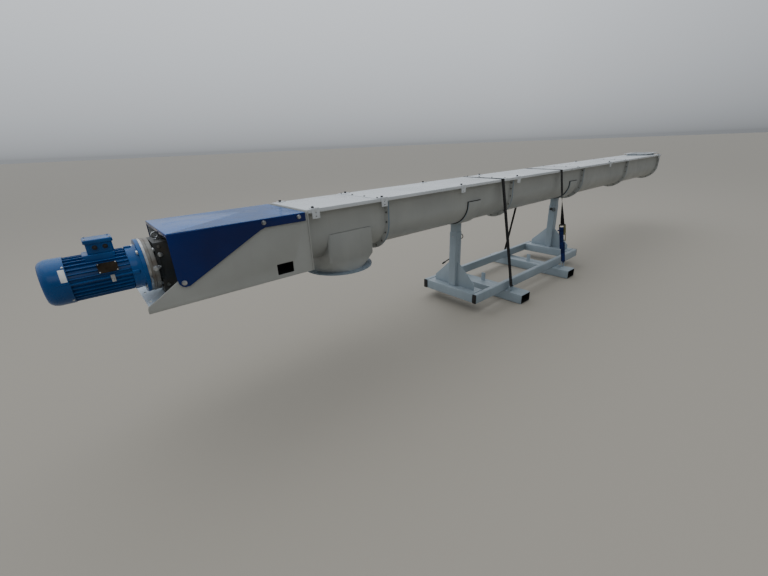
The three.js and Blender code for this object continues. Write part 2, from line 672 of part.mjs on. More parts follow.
// Drive
addPart('drive_end_plate', endPlate(-PLATE - GAP), troughPaint);
addPart('drive_side_near', traySide(-TRAY_Y), troughPaint);
addPart('drive_side_far', traySide(TRAY_Y - TRAY_SHEET), troughPaint);
addPart('drive_base_plate', block(BASE_START, TRAY_END, -TRAY_Y + TRAY_SHEET + GAP, TRAY_Y - TRAY_SHEET - GAP,
  TRAY_BOTTOM_Z, TRAY_BOTTOM_Z + BASE_PLATE), standPaint);
addPart('drive_cover', driveCover(), coverBlue);
addPart('motor_body', motorBody(), motorBlue);
addPart('motor_fan_cowl', fanCowl(), motorBlue);
addPart('motor_terminal_box', terminalBox(), motorBlue);
addPart('gearbox_input_flange', roundX(MOTOR_FLANGE_R, FLANGE_START + FLANGE_THICK + GAP, INPUT_FLANGE_END, 0, MOTOR_Z,
  40), bareSteel);
addPart('gearbox_housing', gearbox(), gearboxGrey);
addPart('drive_coupling', coupling(), bareSteel);
addPart('drive_bearing', flangedBearing(-PLATE - 2 * GAP, -1), gearboxGrey);

// Tail
addPart('tail_end_plate', tailPlate(TROUGH_END + GAP), troughPaint);
addPart('tail_bearing', flangedBearing(TROUGH_END + PLATE + 2 * GAP, 1), gearboxGrey);

// Stand
const standEnd = STAND_START + STAND_LENGTH;
const beamBase = POCKET_HEIGHT + GAP;
const beamTop = beamBase + BEAM_HEIGHT;
const crossY = BEAM_Y - BEAM_WIDTH - GAP;
for (const [name, y0] of [['near', -BEAM_Y], ['far', BEAM_Y - BEAM_WIDTH]]) {
  addPart(`long_beam_${name}`, boxTube(STAND_START, standEnd, y0, y0 + BEAM_WIDTH, beamBase, beamTop, 'x',
    BEAM_WALL), standPaint);
}
for (const [k, toMiddle, lashing] of [[1, 1, LASHING_1], [2, -1, LASHING_2]]) {
  const postX = STAND_X - toMiddle * (STAND_LENGTH / 2 - POST_INSET);
  addPart(`fork_pocket_${k}`, forkPocket(STAND_X - (toMiddle * POCKET_SPACING) / 2, toMiddle, lashing), standPaint);
  addPart(`cross_beam_${k}`, boxTube(postX - CROSS_WIDTH / 2, postX + CROSS_WIDTH / 2, -crossY, crossY,
    beamBase, beamTop, 'y', BEAM_WALL), standPaint);
  addPart(`outer_post_${k}`, outerPost(postX), standPaint);
  addPart(`locking_pin_${k}`, lockingPin(postX, toMiddle), bareSteel);
  addPart(`saddle_post_${k}`, saddlePost(postX), standPaint);
  addPart(`saddle_rubber_${k}`, saddleShape(TROUGH_R + GAP + RUBBER, TROUGH_R + GAP, postX,
    SADDLE_TOP_Z + RUBBER_LIP, SADDLE_LENGTH + 2 * RUBBER_LIP), rubber);
}

// Lashing
addPart('strap_1', strapOne(), blackWeb);
addPart('strap_2', strapTwo(), blackWeb);
addPart('ratchet_web', ratchetWeb(), blueWeb);
addPart('ratchet', ratchet(), ratchetZinc);

model.position.x = -(COWL_START + TROUGH_END + PLATE + 2 * GAP + BEARING_LENGTH) / 2;
const group = new THREE.Group();
group.add(model);

export default group;
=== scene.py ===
import math
import bpy
from mathutils import Matrix, Vector


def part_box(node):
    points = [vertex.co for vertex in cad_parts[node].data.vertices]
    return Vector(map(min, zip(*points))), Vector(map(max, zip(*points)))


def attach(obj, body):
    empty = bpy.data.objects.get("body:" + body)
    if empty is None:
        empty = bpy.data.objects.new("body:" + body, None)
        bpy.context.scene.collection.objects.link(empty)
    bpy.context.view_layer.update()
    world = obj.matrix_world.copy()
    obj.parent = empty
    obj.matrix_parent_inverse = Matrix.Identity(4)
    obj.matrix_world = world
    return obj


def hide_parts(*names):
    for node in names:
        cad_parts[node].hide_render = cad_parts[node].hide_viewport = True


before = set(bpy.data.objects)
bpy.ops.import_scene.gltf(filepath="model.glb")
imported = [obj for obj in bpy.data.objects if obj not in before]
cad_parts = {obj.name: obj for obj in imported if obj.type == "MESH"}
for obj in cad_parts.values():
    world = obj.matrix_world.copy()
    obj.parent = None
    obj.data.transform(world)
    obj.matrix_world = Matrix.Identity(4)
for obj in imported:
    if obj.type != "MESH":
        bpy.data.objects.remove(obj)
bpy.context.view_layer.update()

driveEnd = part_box("trough_section_1")[0][0]
axisZ = 1.110  # height of the screw
motorZ = 1.096  # height of the motor, a little below the screw
turn = 2 * math.pi


def fromEnd(x):
    return x + driveEnd


def toLinear(code):
    values = []
    for k in (0, 2, 4):
        v = int(code[k:k + 2], 16) / 255
        values.append(v / 12.92 if v <= 0.04045 else ((v + 0.055) / 1.055) ** 2.4)
    return (*values, 1.0)


def addNode(tree, kind, inputs, **settings):
    node = tree.nodes.new("ShaderNode" + kind)
    for name, value in settings.items():
        setattr(node, name, value)
    for name, value in inputs.items():
        if isinstance(value, bpy.types.NodeSocket):
            tree.links.new(value, node.inputs[name])
        else:
            node.inputs[name].default_value = value
    return node


def newMaterial(name, settings):
    material = bpy.data.materials.new(name)
    material.use_nodes = True
    tree = material.node_tree
    shader = tree.nodes["Principled BSDF"]
    for key, value in settings.items():
        shader.inputs[key].default_value = value
    place = addNode(tree, "TexCoord", {}).outputs["Object"]
    return material, tree, shader, place


def circle(radius, count, first=0):
    # points evenly round a circle
    angles = [turn * (k + first) / count for k in range(count)]
    return [(radius * math.cos(angle), radius * math.sin(angle)) for angle in angles]


def perMetre(size):
    return 1000 / size  # pattern scale that repeats every so many millimetres


def noiseLevel(tree, place, size, detail, reach, levels=(0.0, 1.0)):
    # noise so many millimetres across, spread from the range it reaches to a pair of levels
    noise = addNode(tree, "TexNoise", {"Vector": place, "Scale": perMetre(size), "Detail": detail})
    spread = addNode(tree, "MapRange", {"Value": noise.outputs["Fac"], "From Min": reach[0],
                                        "From Max": reach[1], "To Min": levels[0], "To Max": levels[1]})
    return spread.outputs["Result"]


def mottled(tree, shader, place, size, detail, reach, low, high):
    # patches of a second colour over the first
    amount = noiseLevel(tree, place, size, detail, reach)
    colour = addNode(tree, "Mix", {0: amount, 6: toLinear(low), 7: toLinear(high)}, data_type="RGBA")
    tree.links.new(colour.outputs[2], shader.inputs["Base Color"])
    return colour.outputs[2]


def grained(tree, shader, place, size, detail, strength, depth):
    # a raised grain over the whole surface, so many millimetres across
    grain = addNode(tree, "TexNoise", {"Vector": place, "Scale": perMetre(size), "Detail": detail})
    relief = addNode(tree, "Bump", {"Height": grain.outputs["Fac"], "Strength": strength, "Distance": depth})
    tree.links.new(relief.outputs["Normal"], shader.inputs["Normal"])


def paintedSteel(name, looks):
    # two-pack paint sprayed on folded sheet: an even satin with faint orange peel,
    # thin rain streaks down its sides, and dust on what faces up; on the blue enamels what faces up is
    # painted a paler blue instead, a painted sky reflection
    material, tree, shader, place = newMaterial(name, {"Specular IOR Level": looks["gloss"]})
    paint = mottled(tree, shader, place, 450, 4.0, (0.35, 0.65), looks["dark"], looks["light"])
    drawnDown = addNode(tree, "Mapping", {"Vector": place, "Scale": (1, 1, 0.06)}).outputs["Vector"]
    streaky = noiseLevel(tree, drawnDown, 38, 5.0, (0.52, 0.78), (0.0, looks["streaks"]))
    dirtAndSheen = toLinear(looks["dirtAndSheen"])
    streaked = addNode(tree, "Mix", {0: streaky, 6: paint, 7: dirtAndSheen}, data_type="RGBA")
    normal = addNode(tree, "NewGeometry", {}).outputs["Normal"]
    facing = addNode(tree, "SeparateXYZ", {"Vector": normal})
    # mask of what faces up: dust on the grey paints, painted sky reflection on the blue enamels
    upward = addNode(tree, "MapRange", {"Value": facing.outputs["Z"], "From Min": 0.3,
                                        "To Max": looks["dustAndSheen"]})
    grainy = noiseLevel(tree, place, 14, 6.0, (0.4, 0.7), (looks["even"], 1.0))
    dustAndSheenAmount = addNode(tree, "Math", {0: upward.outputs["Result"], 1: grainy}, operation="MULTIPLY")
    dustedAndSheened = addNode(tree, "Mix", {0: dustAndSheenAmount.outputs[0], 6: streaked.outputs[2], 7: dirtAndSheen}, data_type="RGBA")
    tree.links.new(dustedAndSheened.outputs[2], shader.inputs["Base Color"])
    wear = noiseLevel(tree, place, 110, 5.0, (0.35, 0.65), (looks["rough"] - 0.06, looks["rough"] + 0.08))
    tree.links.new(wear, shader.inputs["Roughness"])
    grained(tree, shader, place, 2.4, 2.0, looks["peel"], 0.0006)
    return material


def castIron(name, looks):
    # sand-cast housing under thin paint: a coarse 4 mm grain, matt, oily brown where dust sticks to it
    material, tree, shader, place = newMaterial(name, {"Roughness": looks["rough"]})
    mottled(tree, shader, place, 70, 6.0, (0.4, 0.66), looks["paint"], looks["grime"])
    grained(tree, shader, place, 4, 4.0, 0.7, 0.0012)
    return material


def bareMetal(name, looks, toolWay=(1, 1, 1)):
    # turned, rolled or plated metal: fine lines along the tool's way, and stains that dull it in places
    material, tree, shader, place = newMaterial(name, {"Metallic": 1.0})
    mottled(tree, shader, place, 55, 6.0, (0.36, 0.64), looks["dark"], looks["light"])
    drawn = addNode(tree, "Mapping", {"Vector": place, "Scale": toolWay}).outputs["Vector"]
    rough = noiseLevel(tree, drawn, 1.1, 2.0, (0.35, 0.65), (looks["rough"] - 0.05, looks["rough"] + 0.12))
    tree.links.new(rough, shader.inputs["Roughness"])
    grained(tree, shader, drawn, 1.1, 2.0, 0.15, 0.0002)
    return material


def wovenWebbing(name, looks):
    # polyester lashing web: a tight ribbed weave that lies flat and takes little light
    material, tree, shader, place = newMaterial(name, {"Sheen Weight": 0.08, "Sheen Roughness": 0.5,
                                                       "Roughness": 0.85, "Specular IOR Level": 0.25})
    mottled(tree, shader, place, 28, 5.0, (0.4, 0.7), looks["dark"], looks["light"])
    threads = addNode(tree, "TexWave", {"Vector": place, "Scale": perMetre(9), "Distortion": 0.4,
                                        "Detail": 1.0},
                      wave_type="BANDS", bands_direction="DIAGONAL")  # 3 mm ribs, coarser than real to show
    relief = addNode(tree, "Bump", {"Height": threads.outputs["Fac"], "Strength": 0.5, "Distance": 0.0008})
    tree.links.new(relief.outputs["Normal"], shader.inputs["Normal"])
    return material


def mouldedSkin(name, looks):
    # moulded rubber, plastic or a vinyl label: one even colour, slightly greyed where it is handled
    material, tree, shader, place = newMaterial(name, {"Roughness": looks["rough"]})
    mottled(tree, shader, place, 33, 5.0, (0.4, 0.65), looks["dark"], looks["light"])
    grained(tree, shader, place, 2, 2.0, 0.15, 0.0004)
    return material


# What the paints share: rain streaks, dust on top (a painted sky reflection on the blues) and how evenly it
# lies, shine and orange peel.
sheetPaint = {"streaks": 0.07, "dustAndSheen": 0.2, "even": 0.1, "rough": 0.42, "gloss": 0.35, "peel": 0.08}
framePaint = {**sheetPaint, "streaks": 0.1, "dustAndSheen": 0.3, "peel": 0.1}
finishes = {
    "trough": paintedSteel("light grey trough paint", {
        **sheetPaint, "dark": "9a9d9b", "light": "a5a8a5", "dirtAndSheen": "7a7770"}),
    "side": paintedSteel("light grey tray paint", {
        **sheetPaint, "dark": "9b9d99", "light": "a5a7a3", "dirtAndSheen": "7d7970"}),
    "flange": paintedSteel("blue-grey flange paint", {
        **sheetPaint, "dark": "6f7e8a", "light": "7f8d99", "dirtAndSheen": "605f5a", "streaks": 0.12, "peel": 0.1}),
    "lid": paintedSteel("pale grey lid paint", {
        **sheetPaint, "dark": "c2c8cc", "light": "d0d5d9", "dirtAndSheen": "9c9a94", "streaks": 0.05, "dustAndSheen": 0.25,
        "rough": 0.3, "gloss": 0.5, "peel": 0.06}),
    "stand": paintedSteel("pale blue-grey stand paint", {
        **framePaint, "dark": "8b99a2", "light": "9aa7b0", "dirtAndSheen": "75736c"}),
    # on the two blues, what faces up is painted a paler blue: a painted sky reflection, not dust
    "cover": paintedSteel("deep blue cover enamel", {
        "dark": "031b55", "light": "052468", "dirtAndSheen": "1f86e0",
        "streaks": 0.0, "dustAndSheen": 0.5, "even": 0.8, "rough": 0.14, "gloss": 0.28, "peel": 0.03}),
    "motor": paintedSteel("mid blue motor enamel", {
        "dark": "053e74", "light": "0a5698", "dirtAndSheen": "1c6aa8",
        "streaks": 0.0, "dustAndSheen": 0.4, "even": 0.6, "rough": 0.26, "gloss": 0.3, "peel": 0.1}),
    "plateBlue": paintedSteel("pale blue-grey base plate paint", {
        **framePaint, "dark": "c6d6e4", "light": "d4e2ee", "dirtAndSheen": "9a9a94", "rough": 0.4, "gloss": 0.4}),
    # near black: painted shade on the base plate under the cover, and dark mill scale with painted shade
    # inside the fork pockets
    "millScaleAndShade": paintedSteel("dark mill scale and painted shade", {
        **framePaint, "dark": "1d1e20", "light": "2a2b2d", "dirtAndSheen": "3a342c", "streaks": 0.3,
        "rough": 0.6, "gloss": 0.3}),
    "gearbox": castIron("dark grey gearbox casting", {"paint": "34383a", "grime": "3a352d", "rough": 0.5}),
    "casting": castIron("mid grey flange casting", {"paint": "868783", "grime": "6a6055", "rough": 0.45}),
    "steel": bareMetal("turned steel", {
        "dark": "8f9193", "light": "c2c4c5", "rough": 0.3}, (1, 0.1, 0.1)),
    "zinc": bareMetal("zinc-plated fasteners", {
        "dark": "95989b", "light": "c9ccce", "rough": 0.3}),
    "darkBolt": bareMetal("weathered bolts", {
        "dark": "5d5d5b", "light": "8b8a86", "rough": 0.42}),
    "screw": bareMetal("mill-finish screw steel", {
        "dark": "4c4b4a", "light": "77777a", "rough": 0.48}),
    "olive": bareMetal("yellow-zinc ratchet steel", {
        "dark": "6e6b43", "light": "94906a", "rough": 0.4}),
    "plate": bareMetal("bronze-tinted rating plate", {
        "dark": "1f1b16", "light": "39322a", "rough": 0.4}),
    "web": wovenWebbing("black polyester webbing", {"dark": "060607", "light": "101012"}),
    "blueWeb": wovenWebbing("dark blue polyester webbing", {"dark": "081640", "light": "122a66"}),
    "rubber": mouldedSkin("black moulded rubber", {"dark": "101010", "light": "1d1d1d", "rough": 0.75}),
    "plastic": mouldedSkin("black moulded nylon", {"dark": "0e0e0f", "light": "1c1c1e", "rough": 0.45}),
    "label": mouldedSkin("blank white vinyl label", {"dark": "c9cbca", "light": "e4e6e5", "rough": 0.4}),
}
print("materials made:", len(finishes))

# The camera stands where the photograph was taken from.
cameraView = {"place": (-1.1344, -2.376, 1.6752), "down": 21.634, "turn": 39.695, "roll": 2.403,
              "focal": 361.77}
pitch, yaw, roll = (math.radians(cameraView[k]) for k in ("down", "turn", "roll"))
forward = Vector((math.cos(pitch) * math.sin(yaw), math.cos(pitch) * math.cos(yaw), -math.sin(pitch)))
level = Vector((math.cos(yaw), -math.sin(yaw), 0))
below = forward.cross(level)
right = math.cos(roll) * level + math.sin(roll) * below
down = -math.sin(roll) * level + math.cos(roll) * below
x, y, z = cameraView["place"]
bpy.ops.object.camera_add()
camera = bpy.context.object
camera.matrix_world = Matrix((
    (right.x, -down.x, -forward.x, fromEnd(x)), (right.y, -down.y, -forward.y, y),
    (right.z, -down.z, -forward.z, z), (0, 0, 0, 1)))
camera.data.sensor_width = 36
camera.data.lens = cameraView["focal"] / 768 * 36
camera.data.clip_end = 600
bpy.context.scene.camera = camera

bpy.ops.mesh.primitive_plane_add(size=500, location=(0, 0, -0.0005))
floor = bpy.context.object
floor.name = "floor"
floorMaterial = newMaterial("pale floor", {"Roughness": 0.8, "Base Color": toLinear("9c968b")})[0]
floor.data.materials.append(floorMaterial)

# An overcast sky: brighter overhead than at the horizon and behind the object than before it, with
# a broad soft box above and a small one in front.
lamps = {
    "overhead": {"place": (-0.5, 2.5, 8.0), "aim": (0, 0, 1.0), "size": (16, 8), "power": 260},
    "front": {"place": (-5.5, -6.0, 5.0), "aim": (-3.0, 0, 1.0), "size": (5, 3), "power": 40},
}
for name, lamp in lamps.items():
    bpy.ops.object.light_add(type="AREA", location=lamp["place"])
    light = bpy.context.object
    light.name = name
    light.data.shape = "RECTANGLE"
    light.data.size, light.data.size_y = lamp["size"]
    light.data.energy = lamp["power"]
    aim = Vector(lamp["aim"]) - Vector(lamp["place"])
    light.rotation_euler = aim.to_track_quat("-Z", "Y").to_euler()
skyLook = {"horizon": 0.36, "zenith": 1.62, "curve": 0.55, "nearSide": 0.32}
sky = bpy.data.worlds.new("overcast sky")
bpy.context.scene.world = sky
sky.use_nodes = True
skyTree = sky.node_tree
skyWay = addNode(skyTree, "SeparateXYZ", {"Vector": addNode(skyTree, "TexCoord", {}).outputs["Generated"]})
skyRise = addNode(skyTree, "MapRange", {"Value": skyWay.outputs["Z"]})
skyCurve = addNode(skyTree, "Math", {0: skyRise.outputs["Result"], 1: skyLook["curve"]}, operation="POWER")
skyLevel = addNode(skyTree, "MapRange", {"Value": skyCurve.outputs[0], "To Min": skyLook["horizon"],
                                         "To Max": skyLook["zenith"]})
skySide = addNode(skyTree, "MapRange", {"Value": skyWay.outputs["Y"], "From Min": -0.8, "From Max": 0.5,
                                        "To Min": skyLook["nearSide"]})
skyStrength = addNode(skyTree, "Math", {0: skyLevel.outputs["Result"], 1: skySide.outputs["Result"]},
                      operation="MULTIPLY")
skyTree.nodes["Background"].inputs["Color"].default_value = toLinear("e6ebf1")
skyTree.links.new(skyStrength.outputs[0], skyTree.nodes["Background"].inputs["Strength"])
print("camera, floor and lamps set")


def selectOnly(*pieces):
    bpy.ops.object.select_all(action="DESELECT")
    for piece in pieces:
        piece.select_set(True)
    bpy.context.view_layer.objects.active = pieces[0]


def settle(piece):
    selectOnly(piece)
    bpy.ops.object.transform_apply(location=True, rotation=True, scale=True)
    return piece


def addShape(kind, **sizes):
    bpy.ops.object.select_all(action="DESELECT")
    getattr(bpy.ops.mesh, "primitive_%s_add" % kind)(**sizes)
    return settle(bpy.context.object)


def addBlock(low, high):
    low, high = Vector(low), Vector(high)
    return addShape("cube", size=1, location=(low + high) / 2, scale=high - low)


def blockFromEnd(xs, ys, zs):
    # a block with its reach along x counted from the drive end
    return addBlock((fromEnd(xs[0]), ys[0], zs[0]), (fromEnd(xs[1]), ys[1], zs[1]))


def startEdit(piece, part, test):
    # opens a piece for editing, with the faces or edges selected that pass the test
    selectOnly(piece)
    mesh = piece.data
    bpy.context.tool_settings.mesh_select_mode = (part == "VERT", part == "EDGE", part == "FACE")
    for group in (mesh.vertices, mesh.edges, mesh.polygons):
        group.foreach_set("select", [False] * len(group))
    if part == "FACE":
        for face in mesh.polygons:
            face.select = test(face.center, face.normal)
    if part == "EDGE":
        for edge in mesh.edges:
            edge.select = test(*(mesh.vertices[i].co for i in edge.vertices))
    bpy.ops.object.mode_set(mode="EDIT")


def startEditAll(piece):
    startEdit(piece, "VERT", None)
    bpy.ops.mesh.select_all(action="SELECT")


def endEdit():
    bpy.ops.object.mode_set(mode="OBJECT")


def roundEdges(piece, radius, segments, test):
    startEdit(piece, "EDGE", test)
    bpy.ops.mesh.bevel(offset=radius, segments=segments, affect="EDGES")
    endEdit()
    return piece


def runsAlong(axis):
    # passes the edges of a block that run along the axis
    return lambda a, b: abs(a[axis] - b[axis]) > 0.001


def topEdges(top, half):
    # passes the two long edges of a folded sheet at its top
    return lambda a, b: all(abs(v.z - top) < 0.0003 and abs(abs(v.y) - half) < 0.0003 for v in (a, b))


def applyModifier(piece, kind, **settings):
    selectOnly(piece)
    modifier = piece.modifiers.new(kind.lower(), kind)
    for name, value in settings.items():
        setattr(modifier, name, value)
    bpy.ops.object.modifier_apply(modifier=modifier.name)
    return piece


def cutAway(piece, *tools):
    for tool in tools:
        applyModifier(piece, "BOOLEAN", operation="DIFFERENCE", object=tool)
        bpy.data.objects.remove(tool)


def drill(place, radius, depth, rotation=(0, 0, 0)):
    return addShape("cylinder", vertices=16, radius=radius, depth=depth, location=place, rotation=rotation)


def copyOf(piece):
    copy = piece.copy()
    copy.data = piece.data.copy()
    bpy.context.collection.objects.link(copy)
    return copy


def easeEdges(piece, width, segments=2, angle=32):
    return applyModifier(piece, "BEVEL", width=width, segments=segments, limit_method="ANGLE",
                         angle_limit=math.radians(angle), use_clamp_overlap=True)


def finishPiece(piece, name, finish, smooth=35):
    settle(piece)
    piece.name = name
    piece.data.name = name
    piece.data.materials.clear()
    piece.data.materials.append(finishes[finish])
    bpy.ops.object.shade_smooth_by_angle(angle=math.radians(smooth))
    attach(piece, "root")
    return piece


def paintFaces(piece, finish, test):
    # gives the faces that pass the test a second finish
    piece.data.materials.append(finishes[finish])
    for face in piece.data.polygons:
        if test(face.center, face.normal):
            face.material_index = 1


def fromNode(node, finish, edge=0.0012, segments=2, rounded=(), smooth=35):
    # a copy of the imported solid, its triangles merged to whole faces and its edges eased
    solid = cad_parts[node]
    piece = copyOf(solid)
    for key in list(piece.keys()):
        del piece[key]
    piece.parent = None
    piece.matrix_world = solid.matrix_world.copy()
    startEditAll(piece)
    bpy.ops.mesh.remove_doubles(threshold=0.00002)
    bpy.ops.mesh.dissolve_limited(angle_limit=math.radians(0.5))
    endEdit()
    settle(piece)
    for radius, steps, test in rounded:
        roundEdges(piece, radius, steps, test)
    if edge:
        easeEdges(piece, edge, segments)
    finishPiece(piece, node + "_dressed", finish, smooth)
    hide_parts(node)
    return piece


def turned(profile, centre, along=(1, 0, 0), steps=40, sweep=turn, start=None):
    # a turned piece: the profile of (way along, radius) points is drawn and spun about its axis
    along = Vector(along)
    side = Vector(start) if start else along.orthogonal().normalized()
    piece = addShape("plane", size=0.002)
    startEditAll(piece)
    bpy.ops.mesh.merge(type="CENTER")
    places = [Vector(centre) + along * way + side * radius for way, radius in profile]
    bpy.ops.transform.translate(value=places[0])
    for before, after in zip(places, places[1:]):
        bpy.ops.mesh.extrude_region_move(TRANSFORM_OT_translate={"value": after - before})
    bpy.ops.mesh.select_all(action="SELECT")
    bpy.ops.mesh.spin(steps=steps, angle=sweep, center=centre, axis=along)
    bpy.ops.mesh.select_all(action="SELECT")
    bpy.ops.mesh.remove_doubles(threshold=0.00001)
    bpy.ops.mesh.normals_make_consistent(inside=False)
    endEdit()
    return piece


def joined(*pieces):
    selectOnly(*pieces)
    bpy.ops.object.join()
    return pieces[0]


def copyTo(template, spots):
    # copies of a template that stands on its foot along +Z, at (place, direction, scale)
    copies = []
    for place, direction, scale in spots:
        copy = copyOf(template)
        facing = Vector(direction).to_track_quat("Z", "Y").to_matrix().to_4x4()
        copy.matrix_world = Matrix.Translation(place) @ facing @ Matrix.Diagonal((scale, scale, scale, 1))
        copies.append(settle(copy))
    return joined(*copies)


def gridOf(xs, ys, zs, facing, scale):
    # spots for copyTo: every x from the drive end with every y and z
    return [((fromEnd(x), y, z), facing, scale) for x in xs for y in ys for z in zs]


def bentBar(points, radius, closed=False):
    # round bar bent through the points
    curve = bpy.data.curves.new("bar", "CURVE")
    curve.dimensions = "3D"
    curve.bevel_depth = radius
    curve.bevel_resolution = 3
    curve.use_fill_caps = True
    spline = curve.splines.new("NURBS")
    spline.points.add(len(points) - 1)
    for spot, point in zip(spline.points, points):
        spot.co = (*point, 1)
    spline.order_u = 3
    spline.resolution_u = 6
    spline.use_cyclic_u = closed
    spline.use_endpoint_u = not closed
    bar = bpy.data.objects.new("bar", curve)
    bpy.context.collection.objects.link(bar)
    selectOnly(bar)
    bpy.ops.object.convert(target="MESH")
    return bpy.context.object


# Fasteners are modelled once at 10 mm thread size and then copied.
fastener = {"corner": 0.0098, "head": 0.0064, "washer": 0.0105, "washerThick": 0.002,
            "stub": 0.006, "thread": 0.005}


def makeFastener(stub):
    w, h = fastener["washerThick"], fastener["head"]
    hexagon = addShape("cylinder", vertices=6, radius=fastener["corner"], depth=h,
                       location=(0, 0, w + h / 2))
    roundEdges(hexagon, 0.0009, 2, lambda a, b: min(a.z, b.z) > w + h - 0.0001)
    r = fastener["washer"]
    washer = turned([(0, 0), (0, r), (0.0003, r + 0.0004), (w - 0.0003, r + 0.0004), (w, r), (w, 0)],
                    (0, 0, 0), (0, 0, 1), 20)
    if not stub:
        return joined(hexagon, washer)
    t = fastener["thread"]
    end = turned([(w + h - 0.001, t), (w + h + stub - 0.001, t), (w + h + stub, t - 0.001),
                  (w + h + stub, 0)], (0, 0, 0), (0, 0, 1), 12)
    return joined(hexagon, washer, end)


boltHead = makeFastener(0)
nut = makeFastener(fastener["stub"])


def weldBead(name, finish, runs, radius=0.0035, step=0.0055):
    # a laid bead of overlapping ripples along each (start, end)
    beads = []
    for start, end in runs:
        start, end = Vector(start), Vector(end)
        along = (end - start).normalized()
        ripple = addShape("uv_sphere", segments=8, ring_count=5, radius=radius,
                          location=start + along * radius)
        count = max(2, int((end - start).length / step))
        applyModifier(ripple, "ARRAY", use_relative_offset=False, use_constant_offset=True,
                      constant_offset_displace=along * step, count=count)
        beads.append(ripple)
    return finishPiece(joined(*beads), name, finish, 60)


def runsOnX(x0, x1, ys, z):
    return [((fromEnd(x0), y, z), (fromEnd(x1), y, z)) for y in ys]


# Trough: five U sections with rolled walls, bolted together at their ring flanges.
trough = {"joints": (0.712, 2.472, 4.212, 5.862), "flange": 0.008, "boltRadius": 0.228,
          "straightBolts": (0.075, 0.135), "ring": 0.2095, "ringBolts": 9, "boltScale": 0.75}
for k in range(1, 6):
    low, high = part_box("trough_section_%d" % k)

    def onFlange(c, n):
        z = c.z - axisZ
        reach = math.hypot(c.y, z) if z < 0 else abs(c.y)
        nearEnd = min(c.x - low[0], high[0] - c.x) < trough["flange"] + 0.0005
        return nearEnd and reach > trough["ring"] and c.z < 1.28

    paintFaces(fromNode("trough_section_%d" % k, "trough", 0.001), "flange", onFlange)


def aroundFlange(x, way):
    # spots for bolts: evenly round the half circle, then up the straight sides
    radius, last = trough["boltRadius"], trough["ringBolts"] - 1
    places = []
    for k in range(last + 1):
        angle = math.pi + math.pi * k / last
        places.append((radius * math.cos(angle), axisZ + radius * math.sin(angle)))
    places += [(side * radius, axisZ + rise) for rise in trough["straightBolts"] for side in (-1, 1)]
    return [((fromEnd(x), y, z), (way, 0, 0), trough["boltScale"]) for y, z in places]


jointFaces = {"drive": (None, 0.008), "tail": (7.504, 7.5203)}
for k, joint in enumerate(trough["joints"]):
    jointFaces[k + 1] = (joint - trough["flange"], joint + trough["flange"] + 0.001)
for name, (headX, nutX) in jointFaces.items():
    pieces = [copyTo(boltHead, aroundFlange(headX, -1))] if headX else []
    pieces.append(copyTo(nut, aroundFlange(nutX, 1)))
    finishPiece(joined(*pieces), "flange_bolts_%s" % name, "darkBolt")
fromNode("drive_end_plate", "side")
fromNode("tail_end_plate", "flange")
print("trough built")

# Lids: folded sheet, held by bent clips with a clamp screw, and lapped where two lids meet.
lid = {"top": 1.3033, "halfWidth": 0.259, "joints": (0.621, 2.325, 4.029, 5.733)}
lap = {"before": 0.030, "after": 0.012, "half": 0.2575, "thick": 0.003, "screwBefore": 0.009,
       "screwY": (-0.235, -0.08, 0.08, 0.235)}
for k in range(1, 6):
    low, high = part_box("lid_%d" % k)
    fromNode("lid_%d" % k, "lid", 0.0012, rounded=[(0.0035, 4, topEdges(high[2], high[1]))])
for k, joint in enumerate(lid["joints"]):
    lapTop = lid["top"] + lap["thick"]
    strip = blockFromEnd((joint - lap["before"], joint + lap["after"]), (-lap["half"], lap["half"]),
                         (lid["top"], lapTop))
    finishPiece(easeEdges(strip, 0.001), "lid_lap_%d" % (k + 1), "lid")
    screws = gridOf([joint - lap["screwBefore"]], lap["screwY"], [lapTop], (0, 0, 1), 0.75)
    finishPiece(copyTo(boltHead, screws), "lid_screws_%d" % (k + 1), "darkBolt")

clip = {"places": (0.068, 0.6635, 1.6125, 2.5515, 5.07, 7.40), "width": 0.058, "bottom": 1.238, "tab": 0.036,
        "sheet": 0.003, "holes": (1.252, 1.278), "holeRadius": 0.0055, "knobBefore": 0.010, "knobY": 0.240}
for k, x in enumerate(clip["places"]):
    for side, word in ((-1, "near"), (1, "far")):
        xs = (x - clip["width"] / 2, x + clip["width"] / 2)
        face = lid["halfWidth"] + 0.0004
        under, over = lid["top"] + 0.0004, lid["top"] + 0.0004 + clip["sheet"]
        outer = side * (face + clip["sheet"])
        leg = blockFromEnd(xs, sorted((side * face, outer)), (clip["bottom"], over))
        tab = blockFromEnd(xs, sorted((side * (face - clip["tab"]), outer)), (under, over))
        applyModifier(leg, "BOOLEAN", operation="UNION", object=tab)
        bpy.data.objects.remove(tab)
        cutAway(leg, *[drill((fromEnd(x), side * face, z), clip["holeRadius"], 0.02, (math.pi / 2, 0, 0))
                       for z in clip["holes"]])
        name = "lid_clip_%s_%d" % (word, k + 1)
        finishPiece(easeEdges(leg, 0.0007), name, "lid")
        knob = turned([(0, 0), (0, 0.010), (0.008, 0.010), (0.011, 0.0085), (0.011, 0)],
                      (fromEnd(x - clip["knobBefore"]), side * clip["knobY"], over), (0, 0, 1), 20)
        finishPiece(knob, name + "_screw", "plastic")
print("lids and clips built")

# Inlet collar with its bolted rim, and the outlet spout with its ring flange.
fromNode("inlet_collar", "lid", 0.0012)
low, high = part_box("inlet_collar")
rim = {"inset": 0.018, "under": 0.008, "alongSide": 6, "spacing": 0.12, "scale": 0.8}
rowStart, rowEnd, rowY = low[0] + rim["inset"], high[0] - rim["inset"], high[1] - rim["inset"]
rowStep = (rowEnd - rowStart) / (rim["alongSide"] - 1)
places = []
for side, endX in ((-1, rowStart), (1, rowEnd)):
    places += [(rowStart + k * rowStep, side * rowY) for k in range(rim["alongSide"])]
    places += [(endX, y) for y in (-rim["spacing"], 0, rim["spacing"])]
rimSpots = [((x, y, high[2] - rim["under"]), (0, 0, -1), rim["scale"]) for x, y in places]
finishPiece(copyTo(nut, rimSpots), "inlet_rim_bolts", "darkBolt")

